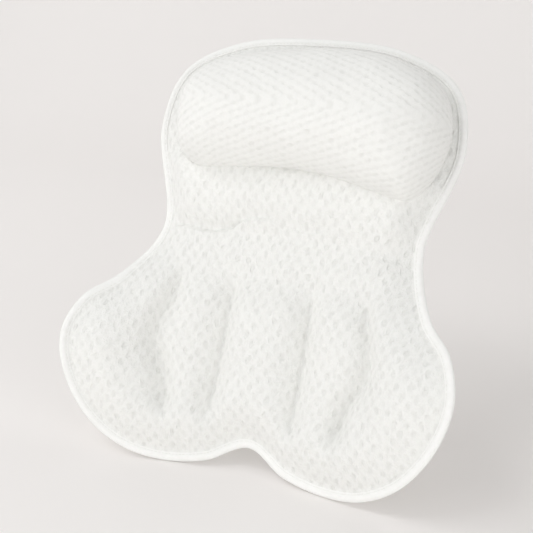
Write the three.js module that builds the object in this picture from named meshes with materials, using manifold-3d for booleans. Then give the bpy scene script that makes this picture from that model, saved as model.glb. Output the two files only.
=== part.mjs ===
// Bath pillow: a butterfly-shaped pad of channelled mesh fabric with a raised head roll,
// edged with folded tape and held on the sloping end of a bath by swivelling suction cups.
// Millimetres. The pad is drawn upright in its own frame: x to the right, y to the back,
// z up from the crease at the neck, with y = 0 on the flat rear face. The whole pad then
// leans back about the crease, and the frame's origin lies on the plane of the cup rims.

import * as THREE from 'three';
import Module from 'manifold-3d';

const wasm = await Module();
wasm.setup();

// Outline of the pad, heights measured up from the lowest point of the lobes
const padHeight = 430;
const wingWidth = 390;
const headWidth = 316;
const neckWidth = 269;
const neckHeight = 232;
const wingTipHeight = 105;
const headSideHeight = 330;
const notchDepth = 27.5;

// How the flat pad is bent: the middle stays flat and the wings and lobes come forward
const flatWidth = 120;
const wingReach = 62;
const curlFade = 70;
const lobeReach = 15;
const lobeCurlStart = 122;

// Fabric layers
const coverThickness = 3;
const layerClearance = 0.3;
const tapeThickness = 1;
const tapeWidth = 9;
const tapeClearance = 0.4;

// Stuffed channels of the shoulder part
const channelCrown = 35;
const yokeCrown = 25;
const yokeDepth = 40;
const channelStart = 75;
const edgeRun = 38;
const innerValleySpacing = 80;
const outerValleyTopSpacing = 172;
const outerValleyBow = 232;
const outerValleyFootSpacing = 168;
const valleyRun = 27;
const valleyTop = 32;
const valleyFull = 66;
const valleyFootFull = 152;
const valleyFoot = 206;
const valleyDepthShare = 0.55;
const valleyBowShare = 0.55;
const padClearance = 0.4;
const padTopClearance = 0.8;
const padEdgeInset = 3;

// Crease at the neck
const foldForwardDegrees = 25;
const foldSpareDegrees = 1.6;
const foldGap = 0.3;
const creaseRun = 30;
const creaseShare = 0.78;

// Head part and its roll
const headCrown = 21;
const headPlateau = 15;
const headEdgeRun = 24;
const plateauStart = 28;
const plateauFull = 54;
const rollLength = 275;
const rollHeight = 120;
const rollDepth = 60;
const rollCentreHeight = 116;
const rollOffset = 9;
const rollBow = 5;
const rollTiltDegrees = 1.5;
const rollTuckDegrees = 34;
const rollRimClearance = 0.6;
const rollEndPower = 2.5;

// Suction cups and the webbing tabs that hold them, distances back from the rear face
const cupColumnSpacing = 96;
const cupRowHeights = { head: 110, middle: -32, lower: -104 };
const cupReach = 19;
const cupRadius = 27.5;
const cupLipWidth = 2.5;
const cupHollowDepth = 8.6;
const cupNeckRadius = 4.3;
const cupKnobRadius = 6.5;
const cupKnobThickness = 3.3;
const cupShoulderDrop = 5.8;
const cupFacets = 20;
const pullTabLength = 7;
const pullTabWidth = 9;
const pullTabThickness = 1.4;
const pullTabLift = 1.4;
const pullTabFacets = 6;
const webbingThickness = 1.4;
const webbingWidth = 20;
const webbingLength = 46;
const webbingArchLength = 20;
const webbingRampLength = 5;
const buttonholeClearance = 0.4;
const seatClearance = 0.3;
const cutOverrun = 2;

// Lean of the pad on the bath end
const leanDegrees = 25.4;

// Worked out from the sizes above
const seamHeight = 2 * coverThickness + layerClearance;
const coverInset = tapeThickness + tapeClearance;
const marginInset = tapeWidth + tapeClearance;
const hingeHeight = -tapeClearance - tapeThickness;
const flatHalf = flatWidth / 2;
const rollRadius = rollHeight / 2;
const radians = THREE.MathUtils.degToRad;

// Colours and finishes
const finishes = {
  mesh: { color: 0xf1f1ed, roughness: 0.95 },
  lining: { color: 0xeeeeea, roughness: 0.95 },
  tape: { color: 0xf4f4f1, roughness: 0.8 },
  fibre: { color: 0xfafaf7, roughness: 1.0 },
  webbing: { color: 0xf2f2ee, roughness: 0.85 },
  vinyl: { color: 0xdfe8ea, roughness: 0.12 },
};

// Small helpers on numbers
const mix = THREE.MathUtils.lerp;
const ramp = (value, low, high) => THREE.MathUtils.smoothstep(value, low, high);
const swell = (distance, run) => Math.sin((Math.PI / 2) * THREE.MathUtils.clamp(distance / run, 0, 1));

// Half outline from the notch at the bottom, round the right wing, to the top centre.
// Each entry says which share of which size its place is.
const outlineShares = {
  innerFoot: 0.29,
  heel: [0.626, 0.045],
  corner: [0.807, 0.24],
  wingFoot: [0.948, 0.604],
  wingTop: [0.817, 0.695],
  shoulder: [0.362, 0.453],
  headCorner: [0.9, 0.6],
  crown: [0.54, 0.92],
};
const stationNames = [
  'notch', 'innerFoot', 'outerFoot', 'heel', 'corner', 'wingFoot', 'tip',
  'wingTop', 'shoulder', 'neck', 'headSide', 'headCorner', 'crown', 'top',
];
const station = Object.fromEntries(stationNames.map((name, k) => [name, k]));

function outlinePoints() {
  const wing = wingWidth / 2;
  const head = headWidth / 2;
  const neck = neckWidth / 2;
  const shares = outlineShares;
  const between = ([across, up]) => [mix(neck, wing, across), mix(neckHeight, wingTipHeight, up)];
  const above = ([across, up]) => [head * across, mix(headSideHeight, padHeight, up)];
  const below = ([across, up]) => [wing * across, wingTipHeight * up];
  const half = [
    [0, notchDepth],
    [innerValleySpacing / 2, notchDepth * shares.innerFoot],
    [outerValleyFootSpacing / 2, 0],
    below(shares.heel),
    below(shares.corner),
    below(shares.wingFoot),
    [wing, wingTipHeight],
    between(shares.wingTop),
    between(shares.shoulder),
    [neck, neckHeight],
    [head, headSideHeight],
    above(shares.headCorner),
    above(shares.crown),
    [0, padHeight],
  ];
  return half.map(([x, height]) => new THREE.Vector2(x, height - neckHeight));
}

function closedOutline() {
  const half = outlinePoints();
  const left = half.slice(1, -1).reverse().map((p) => new THREE.Vector2(-p.x, p.y));
  const loop = [...half, ...left].map((p) => new THREE.Vector3(p.x, p.y, 0));
  return new THREE.CatmullRomCurve3(loop, true, 'centripetal');
}

const outline = closedOutline();
const outlineCount = outline.points.length;
const outlineSamples = 160;
const outlineRing = outline.getPoints(outlineSamples).map((p) => new THREE.Vector2(p.x, p.y));
const slopeStep = 0.01;
const stationStepShare = 0.01;
const lengthTolerance = 1e-4;

// A point of the outline by its station number, on the right half
function outlineAt(at) {
  const p = outline.getPoint(THREE.MathUtils.euclideanModulo(at / outlineCount, 1));
  return new THREE.Vector2(p.x, p.y);
}

// Station numbers that divide the run from one station to another by shares of its length
function stationsBetween(from, to, shares) {
  const steps = 80;
  const places = Array.from({ length: steps + 1 }, (_, k) => mix(from, to, k / steps));
  const lengths = [0];
  for (let k = 1; k <= steps; k += 1) {
    const run = outlineAt(places[k]).distanceTo(outlineAt(places[k - 1]));
    lengths.push(lengths[k - 1] + run);
  }
  return shares.map((share) => {
    const target = share * lengths[steps];
    const k = Math.max(1, lengths.findIndex((length) => length >= target - lengthTolerance));
    const part = (target - lengths[k - 1]) / (lengths[k] - lengths[k - 1]);
    return mix(places[k - 1], places[k], part);
  });
}

function distanceToLine(points, x, z) {
  let least = Infinity;
  const p = new THREE.Vector2(x, z);
  const along = new THREE.Vector2();
  const from = new THREE.Vector2();
  for (let k = 1; k < points.length; k += 1) {
    along.subVectors(points[k], points[k - 1]);
    from.subVectors(p, points[k - 1]);
    const share = THREE.MathUtils.clamp(from.dot(along) / along.lengthSq(), 0, 1);
    least = Math.min(least, from.addScaledVector(along, -share).length());
  }
  return least;
}

const distanceToEdge = (x, z) => distanceToLine(outlineRing, x, z);

// The bent rear face, and a point standing a given height in front of it
function rearFace(x, z) {
  const out = Math.max(0, Math.abs(x) - flatHalf) / (wingWidth / 2 - flatHalf);
  const down = Math.max(0, -z - lobeCurlStart) / (neckHeight - lobeCurlStart);
  return -wingReach * out * out * ramp(-z, 0, curlFade) - lobeReach * down * down;
}

function inFront(x, z, height) {
  const slopeX = (rearFace(x + slopeStep, z) - rearFace(x - slopeStep, z)) / (2 * slopeStep);
  const slopeZ = (rearFace(x, z + slopeStep) - rearFace(x, z - slopeStep)) / (2 * slopeStep);
  const normal = new THREE.Vector3(slopeX, -1, slopeZ).normalize();
  return new THREE.Vector3(x, rearFace(x, z), z).addScaledVector(normal, height);
}

// A plan point set in from the outline, measured along the bent face
function insetPoint(at, inset, side) {
  const p = outlineAt(at);
  const tangent = outlineAt(at + stationStepShare).sub(outlineAt(at - stationStepShare)).normalize();
  const outward = new THREE.Vector2(tangent.y, -tangent.x);
  const inner = p.clone().addScaledVector(outward, -slopeStep);
  const slope = (rearFace(p.x, p.y) - rearFace(inner.x, inner.y)) / slopeStep;
  p.addScaledVector(outward, -inset / Math.hypot(1, slope));
  return new THREE.Vector2(side * p.x, p.y);
}

// Half the width of the crease at a height in front of the rear face: a notch that all but
// closes when the head is folded forward to its stop
function creaseHalf(height) {
  const half = radians((foldForwardDegrees + foldSpareDegrees) / 2);
  return foldGap / 2 + (height - hingeHeight) * Math.tan(half);
}

// Lines of the valleys between the channels, on the right half
function outerValleyLine() {
  const foot = insetPoint(station.outerFoot, marginInset, 1);
  const bow = outerValleyBow / 2;
  const knee = mix(bow, foot.x, valleyBowShare);
  const points = [
    new THREE.Vector3(outerValleyTopSpacing / 2, 0, 0),
    new THREE.Vector3(mix(outerValleyTopSpacing / 2, bow, valleyBowShare), -valleyFull, 0),
    new THREE.Vector3(bow, mix(-valleyFull, -valleyFootFull, valleyBowShare), 0),
    new THREE.Vector3(knee, -valleyFootFull, 0),
    new THREE.Vector3(foot.x, foot.y, 0),
  ];
  return new THREE.CatmullRomCurve3(points, false, 'centripetal');
}

const outerValley = outerValleyLine();
const valleySamples = 24;
const outerValleyPoints = outerValley.getPoints(valleySamples).map((p) => new THREE.Vector2(p.x, p.y));
const innerValleyFoot = insetPoint(station.innerFoot, marginInset, 1);
const innerValleyTop = new THREE.Vector2(innerValleySpacing / 2, 0);
const innerValleyPoints = [innerValleyTop, innerValleyFoot];

function valleyFactor(x, z) {
  const fade = ramp(-z, valleyTop, valleyFull) * (1 - ramp(-z, valleyFootFull, valleyFoot));
  const dip = (points) => {
    const near = 1 - swell(distanceToLine(points, Math.abs(x), z), valleyRun);
    return 1 - valleyDepthShare * fade * near;
  };
  return dip(innerValleyPoints) * dip(outerValleyPoints);
}

function creaseFactor(z) {
  return 1 - creaseShare * (1 - swell(Math.abs(z), creaseRun));
}

// Height of the front face over the rear face, for each part
function shoulderFront(x, z) {
  const edge = swell(distanceToEdge(x, z) - marginInset, edgeRun);
  const crown = mix(yokeCrown, channelCrown, ramp(-z, yokeDepth, channelStart));
  return seamHeight + (crown - seamHeight) * edge * valleyFactor(x, z) * creaseFactor(z);
}

function headFront(x, z) {
  const edge = swell(distanceToEdge(x, z) - marginInset, headEdgeRun);
  const crown = mix(headCrown, headPlateau, ramp(z, plateauStart, plateauFull));
  return seamHeight + (crown - seamHeight) * edge * creaseFactor(z);
}

// A closed body from welded corner points and faces
class Body {
  constructor() {
    this.places = [];
    this.faces = [];
    this.known = new Map();
  }

  corner(p) {
    const weld = 1e4;
    const key = [p.x, p.y, p.z].map((value) => Math.round(value * weld)).join();
    if (!this.known.has(key)) {
      this.known.set(key, this.places.length);
      this.places.push(p.clone());
    }
    return this.known.get(key);
  }

  face(a, b, c) {
    const corners = [a, b, c].map((p) => this.corner(p));
    if (new Set(corners).size === corners.length) this.faces.push(corners);
  }

  quad(a, b, c, d) {
    this.face(a, b, c);
    this.face(a, c, d);
  }

  volume() {
    return this.faces.reduce((sum, [a, b, c]) => {
      const cross = new THREE.Vector3().crossVectors(this.places[b], this.places[c]);
      return sum + this.places[a].dot(cross);
    }, 0);
  }

  geometry() {
    const turned = this.volume() < 0;
    const index = this.faces.flatMap(([a, b, c]) => (turned ? [a, c, b] : [a, b, c]));
    const geometry = new THREE.BufferGeometry();
    const values = this.places.flatMap((p) => p.toArray());
    geometry.setAttribute('position', new THREE.Float32BufferAttribute(values, 3));
    geometry.setIndex(index);
    geometry.computeVertexNormals();
    return geometry;
  }
}

// One skin of a grid: each cell's diagonal points from the middle column to the far corner
// on its own side, so that layers over the same cells have parallel faces
function addSkin(body, skin, flipped, closed, middle) {
  const columns = closed ? skin.length : skin.length - 1;
  for (let i = 0; i < columns; i += 1) {
    const here = skin[i];
    const next = skin[(i + 1) % skin.length];
    for (let j = 0; j + 1 < here.length; j += 1) {
      const ring = [here[j], next[j], next[j + 1], here[j + 1]];
      if (flipped) ring.reverse();
      const shift = (i < middle) === flipped ? 0 : 1;
      body.quad(...ring.slice(shift), ...ring.slice(0, shift));
    }
  }
}

// A slab between a front and a back skin over the same grid, walled along its borders
function slab(front, back, { closed = false, middle = (front.length - 1) / 2 } = {}) {
  const body = new Body();
  addSkin(body, front, false, closed, middle);
  addSkin(body, back, true, closed, middle);
  const last = front.length - 1;
  const end = front[0].length - 1;
  const columns = closed ? front.length : last;
  for (let i = 0; i < columns; i += 1) {
    const next = (i + 1) % front.length;
    body.quad(front[i][0], back[i][0], back[next][0], front[next][0]);
    if (!closed) body.quad(front[next][end], back[next][end], back[i][end], front[i][end]);
  }
  if (!closed) {
    for (let j = 0; j < end; j += 1) {
      body.quad(front[0][j + 1], back[0][j + 1], back[0][j], front[0][j]);
      body.quad(front[last][j], back[last][j], back[last][j + 1], front[last][j + 1]);
    }
  }
  return body.geometry();
}

// Plan grid of one part of the pad. Columns run from left to right, rows away from the
// crease. The outermost column on each side and the last row lie under the binding.
const rowShares = [0, 0.06, 0.13, 0.21, 0.3, 0.4, 0.5, 0.6, 0.69, 0.77, 0.84, 0.9, 0.95, 1];
const centreShares = [0, 0.42, 0.8, 1];
const channelShares = [0, 0.16, 0.38, 0.62, 0.84, 1];
const wingShares = [0, 0.15, 0.37, 0.61, 0.83, 1];
const headRowShares = [0, 0.07, 0.17, 0.3, 0.44, 0.58, 0.72, 0.86, 1];
const headColumnShares = [0, 0.16, 0.32, 0.48, 0.64, 0.8, 0.92, 1];
const marginCornerShare = 0.35;

// Right half of the grid: guides are lines from the crease to the far edge, each with its
// foot station, and the outermost guide is the side of the outline
function halfGrid(guides, sideStations, blockShares) {
  const rows = sideStations.shares.length;
  const columns = [];
  const columnStations = [];
  guides.slice(0, -1).forEach((guide, k) => {
    const nextGuide = guides[k + 1];
    const shares = blockShares[k];
    const feet = stationsBetween(guide.foot, nextGuide.foot, shares);
    shares.forEach((share, s) => {
      if (s === shares.length - 1 && k < guides.length - 2) return;
      const foot = insetPoint(feet[s], marginInset, 1);
      const chord = guide.at(1).lerp(nextGuide.at(1), share);
      const column = [];
      for (let j = 0; j < rows; j += 1) {
        const v = sideStations.shares[j];
        const p = guide.at(v, j).lerp(nextGuide.at(v, j), share);
        column.push(p.addScaledVector(foot.clone().sub(chord), v * v));
      }
      columns.push(column);
      columnStations.push(feet[s]);
    });
  });
  return { columns, columnStations };
}

function addMargins(half, sideStations) {
  const stations = sideStations.stations;
  const rows = stations.length;
  const cornerStation = stations[rows - 1];
  const lastColumn = half.columns.length - 1;
  const beforeCorner = mix(cornerStation, stations[rows - 2], marginCornerShare);
  const afterCorner = mix(cornerStation, half.columnStations[lastColumn - 1], marginCornerShare);
  const sideEdge = [...stations.slice(0, -1), beforeCorner, cornerStation];
  const endEdge = [...half.columnStations.slice(0, -1), afterCorner];
  half.columns.forEach((column, i) => column.push(insetPoint(endEdge[i], coverInset, 1)));
  half.columns.push(sideEdge.map((at) => insetPoint(at, coverInset, 1)));
  return [...sideEdge, ...endEdge.slice().reverse()];
}

// Mirrors a right half into a whole grid of plan points
function wholeGrid(half) {
  const mirrored = half.columns.slice(1).reverse();
  const left = mirrored.map((column) => column.map((p) => new THREE.Vector2(-p.x, p.y)));
  return [...left, ...half.columns];
}

function sideRun(from, to, shares) {
  const stations = stationsBetween(from, to, shares);
  return { shares, stations };
}

function shoulderGrid() {
  const side = sideRun(station.neck, station.corner, rowShares);
  const notch = insetPoint(station.notch, marginInset, 1);
  const guides = [
    { foot: station.notch, at: (v) => new THREE.Vector2(0, notch.y * v) },
    { foot: station.innerFoot, at: (v) => innerValleyTop.clone().lerp(innerValleyFoot, v) },
    {
      foot: station.outerFoot,
      at: (v) => {
        const p = outerValley.getPointAt(v);
        return new THREE.Vector2(p.x, p.y);
      },
    },
    {
      foot: station.corner,
      at: (v, j = rowShares.length - 1) => insetPoint(side.stations[j], marginInset, 1),
    },
  ];
  const half = halfGrid(guides, side, [centreShares, channelShares, wingShares]);
  const edge = addMargins(half, side);
  return { plan: wholeGrid(half), edge };
}

function headGrid() {
  const side = sideRun(station.neck, station.headCorner, headRowShares);
  const top = insetPoint(station.top, marginInset, 1);
  const guides = [
    { foot: station.top, at: (v) => new THREE.Vector2(0, top.y * v) },
    {
      foot: station.headCorner,
      at: (v, j = headRowShares.length - 1) => insetPoint(side.stations[j], marginInset, 1),
    },
  ];
  const half = halfGrid(guides, side, [headColumnShares]);
  const edge = addMargins(half, side);
  return { plan: wholeGrid(half), edge };
}

// Lifts a plan grid to a skin at a height given by a function of place. The row at the
// crease keeps to its own side of the notch there.
function skinOf(plan, heightAt) {
  return plan.map((column) => {
    const away = Math.sign(column[column.length - 1].y);
    return column.map((p, j) => {
      const height = heightAt(p.x, p.y);
      const z = j === 0 ? away * creaseHalf(height) : p.y;
      return inFront(p.x, z, height);
    });
  });
}

// Front and rear cover of one part
function coverGeometry(plan, heightAt) {
  const front = skinOf(plan, heightAt);
  const back = skinOf(plan, (x, z) => heightAt(x, z) - coverThickness);
  return slab(front, back);
}

// A stuffing pad that fills the space between the covers over a block of the grid. The
// insets say how far it keeps back from the block's left, right, near and far borders.
function padGeometry(plan, frontAt, block, insets) {
  const topSkin = skinOf(plan, (x, z) => frontAt(x, z) - coverThickness - padTopClearance);
  const lowSkin = skinOf(plan, () => coverThickness + layerClearance);
  const trim = (line, nearInset, farInset) => {
    const cut = line.map((p) => p.clone());
    const n = cut.length - 1;
    cut[0].lerp(line[1], nearInset / line[0].distanceTo(line[1]));
    cut[n].lerp(line[n - 1], farInset / line[n].distanceTo(line[n - 1]));
    return cut;
  };
  const crop = (skin) => {
    const columns = skin.slice(block.left, block.right + 1);
    const trimmedRows = columns.map((column) => {
      return trim(column.slice(block.near, block.far + 1), insets.near, insets.far);
    });
    const rows = trimmedRows[0].map((_, j) => {
      return trim(trimmedRows.map((column) => column[j]), insets.left, insets.right);
    });
    return trimmedRows.map((_, i) => rows.map((row) => row[i]));
  };
  return slab(crop(topSkin), crop(lowSkin), { middle: (plan.length - 1) / 2 - block.left });
}

// Folded tape round the edge: a U section carried along the outline of one part
function tapeSection() {
  const frontInner = seamHeight + tapeClearance;
  const frontOuter = frontInner + tapeThickness;
  const backInner = -tapeClearance;
  const backOuter = backInner - tapeThickness;
  return [
    [tapeWidth, frontInner],
    [tapeThickness, frontInner],
    [tapeThickness, backInner],
    [tapeWidth, backInner],
    [tapeWidth, backOuter],
    [tapeThickness, backOuter],
    [0, backInner],
    [0, frontInner],
    [tapeThickness, frontOuter],
    [tapeWidth, frontOuter],
  ];
}

function tapeGeometry(edge, away, corner) {
  const section = tapeSection();
  const onSide = (at) => Math.abs(at - station.neck) < Math.abs(corner - station.neck);
  const right = edge.map((at) => ({ at, side: 1 }));
  const left = edge.slice(0, -1).reverse().map((at) => ({ at, side: -1 }));
  const stops = [...right, ...left];
  const rings = stops.map(({ at, side }, k) => section.map(([inset, height]) => {
    const p = insetPoint(at, inset, side);
    const atCrease = k === 0 || k === stops.length - 1;
    return inFront(p.x, atCrease ? away * creaseHalf(height) : p.y, height);
  }));
  const body = new Body();
  for (let k = 0; k + 1 < rings.length; k += 1) {
    const rightward = stops[k + 1].side === stops[0].side;
    const alongSide = onSide((stops[k].at + stops[k + 1].at) / 2);
    section.forEach(([inset], s) => {
      const t = (s + 1) % section.length;
      const inward = inset >= section[t][0];
      const cell = [rings[k][s], rings[k + 1][s], rings[k + 1][t], rings[k][t]];
      if (inward !== (alongSide === rightward)) cell.push(cell.shift());
      body.quad(...cell);
    });
  }
  const flat = section.map(([inset, height]) => new THREE.Vector2(inset, height));
  const turn = (corners) => Math.sign(THREE.ShapeUtils.area(corners));
  THREE.ShapeUtils.triangulateShape(flat, []).forEach((corners) => {
    const end = rings[rings.length - 1];
    const sameWay = turn(corners.map((k) => flat[k])) === turn(flat);
    const [a, b, c] = sameWay ? corners : corners.slice().reverse();
    body.face(rings[0][a], rings[0][b], rings[0][c]);
    body.face(end[c], end[b], end[a]);
  });
  return body.geometry();
}

// Head roll: every station has a point on the middle line and one on the widest contour
const rollSpineShares = [-1, -0.72, -0.42, -0.14, 0.14, 0.42, 0.72, 1];
const rollFanSteps = 8;
const rollRings = 6;

function rollStations() {
  const reach = rollLength / 2 - rollRadius;
  const tilt = radians(rollTiltDegrees);
  const turn = (x, z) => new THREE.Vector2(
    rollOffset + x * Math.cos(tilt) + z * Math.sin(tilt),
    rollCentreHeight - x * Math.sin(tilt) + z * Math.cos(tilt),
  );
  const spineZ = (share) => -rollBow * share * share;
  const round = (value) => Math.sign(value) * Math.abs(value) ** (2 / rollEndPower);
  const spot = (share, across, up) => ({
    middle: turn(share * reach, spineZ(share)),
    wide: turn(share * reach + across * rollRadius, spineZ(share) + up * rollRadius),
  });
  const top = rollSpineShares.map((share) => spot(share, 0, 1));
  const bottom = rollSpineShares.slice().reverse().map((share) => spot(share, 0, -1));
  const fan = (share) => Array.from({ length: rollFanSteps - 1 }, (_, k) => {
    const angle = (Math.PI * (k + 1)) / rollFanSteps;
    return spot(share, share * round(Math.sin(angle)), share * round(Math.cos(angle)));
  });
  return [...top, ...fan(1), ...bottom, ...fan(-1)];
}

// One skin of the roll, drawn in by a wall and standing on a seat above the head cover
function rollSkin(wall, seat, onCover) {
  const tuck = radians(rollTuckDegrees);
  const depthRadius = rollDepth / (1 + Math.sin(tuck));
  const centre = headPlateau + rollRimClearance + depthRadius * Math.sin(tuck);
  const shrink = (rollRadius - wall) / rollRadius;
  return rollStations().map(({ middle, wide }) => {
    return Array.from({ length: rollRings }, (_, k) => {
      const angle = mix(-tuck, Math.PI / 2, k / (rollRings - 1));
      const p = middle.clone().lerp(wide, Math.cos(angle) * shrink);
      const rim = onCover ? headFront(p.x, p.y) + seat : centre - depthRadius * Math.sin(tuck) + seat;
      const height = k === 0 ? rim : centre + (depthRadius - wall) * Math.sin(angle);
      return inFront(p.x, p.y, height);
    });
  });
}

function rollCoverGeometry() {
  const outside = rollSkin(0, rollRimClearance, true);
  const inside = rollSkin(coverThickness, rollRimClearance, true);
  return slab(outside, inside, { closed: true });
}

function rollFillGeometry() {
  const wall = coverThickness + layerClearance;
  const front = rollSkin(wall, seatClearance, false);
  const floor = front[0][0].y;
  const back = front.map((ring) => ring.map((p, k) => {
    const flat = ring[0].clone().lerp(ring[ring.length - 1], k / (ring.length - 1));
    return flat.setY(floor);
  }));
  return slab(front, back, { closed: true });
}

// Joins and cuts closed meshes
function asSolid(geometry) {
  const body = new Body();
  const flat = geometry.index ? geometry.toNonIndexed() : geometry;
  const places = flat.attributes.position;
  const at = (k) => new THREE.Vector3().fromBufferAttribute(places, k);
  for (let k = 0; k < places.count; k += 3) body.face(at(k), at(k + 1), at(k + 2));
  const welded = body.geometry();
  const mesh = new wasm.Mesh({
    numProp: 3,
    vertProperties: welded.attributes.position.array,
    triVerts: new Uint32Array(welded.index.array),
  });
  return new wasm.Manifold(mesh);
}

function asGeometry(solid) {
  const mesh = solid.getMesh();
  const geometry = new THREE.BufferGeometry();
  geometry.setAttribute('position', new THREE.BufferAttribute(mesh.vertProperties, mesh.numProp));
  geometry.setIndex(new THREE.BufferAttribute(mesh.triVerts, 1));
  geometry.computeVertexNormals();
  return geometry;
}

// Suction cup: a turned bell with a knob, and a small tab on its rim to peel it off
const bellShares = [[0.17, 0.09], [0.36, 0.25], [0.66, 0.54], [0.9, 0.86]];
const hollowShares = [[0.45, 0.07], [0.76, 0.36], [0.93, 0.7]];
const knobEdgeShare = 0.28;

function cupGeometry() {
  const knobBack = seatClearance + cupKnobThickness;
  const knobEdge = cupKnobThickness * knobEdgeShare;
  const bellDrop = cupReach - cupShoulderDrop;
  const lipInner = cupRadius - cupLipWidth;
  const hollowTop = cupReach - cupHollowDepth;
  const outer = bellShares.map(([across, down]) => {
    return [mix(cupNeckRadius, cupRadius, across), cupShoulderDrop + bellDrop * down];
  });
  const inner = hollowShares.map(([across, down]) => [lipInner * across, hollowTop + cupHollowDepth * down]);
  const profile = [
    [0, seatClearance],
    [cupKnobRadius - knobEdge, seatClearance],
    [cupKnobRadius, seatClearance + knobEdge],
    [cupKnobRadius, knobBack - knobEdge],
    [cupNeckRadius, knobBack],
    [cupNeckRadius, cupShoulderDrop],
    ...outer,
    [cupRadius, cupReach],
    [lipInner, cupReach],
    ...inner.reverse(),
    [0, hollowTop],
  ];
  const turned = new THREE.LatheGeometry(profile.map(([r, y]) => new THREE.Vector2(r, y)), cupFacets);
  const tongue = new THREE.Shape();
  const half = pullTabWidth / 2;
  const root = cupRadius - cupLipWidth;
  tongue.moveTo(root, -half);
  tongue.lineTo(cupRadius + pullTabLength - half, -half);
  tongue.absarc(cupRadius + pullTabLength - half, 0, half, -Math.PI / 2, Math.PI / 2, false);
  tongue.lineTo(root, half);
  const facets = { depth: pullTabThickness, bevelEnabled: false, curveSegments: pullTabFacets };
  const plate = new THREE.ExtrudeGeometry(tongue, facets);
  plate.rotateX(-Math.PI / 2);
  plate.rotateY(-Math.PI / 2);
  plate.translate(0, cupReach - pullTabLift - pullTabThickness, 0);
  return asGeometry(asSolid(turned).add(asSolid(plate)));
}

// Webbing tab: a strip sewn down at both ends and arched between them, with a buttonhole
function webbingGeometry() {
  const low = seatClearance;
  const high = seatClearance + cupKnobThickness + buttonholeClearance;
  const half = webbingLength / 2;
  const arch = webbingArchLength / 2;
  const foot = arch + webbingRampLength;
  const side = [[half, low], [foot, low], [arch, high]];
  const thick = ([z, y]) => [z, y + webbingThickness];
  const mirror = ([z, y]) => [-z, y];
  const lower = [...side, ...side.slice().reverse().map(mirror)];
  const upper = lower.slice().reverse().map(thick);
  const shape = new THREE.Shape([...lower, ...upper].map(([z, y]) => new THREE.Vector2(z, y)));
  const strip = new THREE.ExtrudeGeometry(shape, { depth: webbingWidth, bevelEnabled: false });
  strip.rotateY(-Math.PI / 2);
  strip.translate(webbingWidth / 2, 0, 0);
  const holeRadius = cupNeckRadius + buttonholeClearance;
  const hole = new THREE.CylinderGeometry(holeRadius, holeRadius, high + cutOverrun, cupFacets);
  hole.translate(0, high, 0);
  return asGeometry(asSolid(strip).subtract(asSolid(hole)));
}

function named(name, geometry, finish) {
  const mesh = new THREE.Mesh(geometry, new THREE.MeshStandardMaterial({ ...finish, metalness: 0 }));
  mesh.name = name;
  return mesh;
}

// Shoulder part: covers, binding, the yoke pad and one pad in each channel
function shoulderPart() {
  const { plan, edge } = shoulderGrid();
  const part = new THREE.Group();
  const rear = () => coverThickness;
  part.add(named('front_cover_shoulders', coverGeometry(plan, shoulderFront), finishes.mesh));
  part.add(named('back_cover_shoulders', coverGeometry(plan, rear), finishes.lining));
  part.add(named('edge_binding_shoulders', tapeGeometry(edge, -1, station.corner), finishes.tape));
  const wing = wingShares.length - 1;
  const channel = channelShares.length - 1;
  const centre = 2 * (centreShares.length - 1);
  const yokeRow = rowShares.findIndex((share) => share * neckHeight > yokeDepth);
  const farRow = plan[0].length - 2;
  const yoke = { left: 1, right: plan.length - 2, near: 0, far: yokeRow };
  const yokeInsets = { left: padEdgeInset, right: padEdgeInset, near: 0, far: padClearance };
  const yokeBody = padGeometry(plan, shoulderFront, yoke, yokeInsets);
  part.add(named('yoke_pad', yokeBody, finishes.fibre));
  const borders = [1];
  [wing, channel, centre, channel, wing].forEach((cells, k) => borders.push(borders[k] + cells));
  const names = ['left_wing', 'left_inner', 'centre', 'right_inner', 'right_wing'];
  names.forEach((name, k) => {
    const block = { left: borders[k], right: borders[k + 1], near: yokeRow, far: farRow };
    const insets = {
      left: k === 0 ? padEdgeInset : padClearance,
      right: k === names.length - 1 ? padEdgeInset : padClearance,
      near: padClearance,
      far: padEdgeInset,
    };
    part.add(named(`channel_pad_${name}`, padGeometry(plan, shoulderFront, block, insets), finishes.fibre));
  });
  return part;
}

// Head part: covers, binding, its flat pad and the roll sewn to its front
function headPart() {
  const { plan, edge } = headGrid();
  const part = new THREE.Group();
  const rear = () => coverThickness;
  part.add(named('front_cover_head', coverGeometry(plan, headFront), finishes.mesh));
  part.add(named('back_cover_head', coverGeometry(plan, rear), finishes.lining));
  part.add(named('edge_binding_head', tapeGeometry(edge, 1, station.headCorner), finishes.tape));
  const block = { left: 1, right: plan.length - 2, near: 0, far: plan[0].length - 2 };
  const insets = { left: padEdgeInset, right: padEdgeInset, near: 0, far: padEdgeInset };
  part.add(named('head_pad', padGeometry(plan, headFront, block, insets), finishes.fibre));
  part.add(named('head_roll_cover', rollCoverGeometry(), finishes.mesh));
  part.add(named('head_roll_fill', rollFillGeometry(), finishes.fibre));
  return part;
}

// Suction cups and their webbing tabs in rows down the flat middle of the back
function cupPart() {
  const part = new THREE.Group();
  const sides = { left: -1, right: 1 };
  Object.entries(cupRowHeights).forEach(([row, height]) => {
    Object.entries(sides).forEach(([side, sign]) => {
      const seat = new THREE.Group();
      seat.position.set((sign * cupColumnSpacing) / 2, 0, height);
      seat.add(named(`suction_cup_${row}_${side}`, cupGeometry(), finishes.vinyl));
      seat.add(named(`cup_tab_${row}_${side}`, webbingGeometry(), finishes.webbing));
      part.add(seat);
    });
  });
  return part;
}

const pillow = new THREE.Group();
pillow.add(shoulderPart(), headPart(), cupPart());
pillow.position.set(0, -cupReach, 0);

const group = new THREE.Group();
group.add(pillow);
group.rotation.x = radians(-leanDegrees);
group.updateMatrixWorld(true);

export default group;
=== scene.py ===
"""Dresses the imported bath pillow: padded mesh covers, edge tape, head roll, suction cups and seams."""

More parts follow.
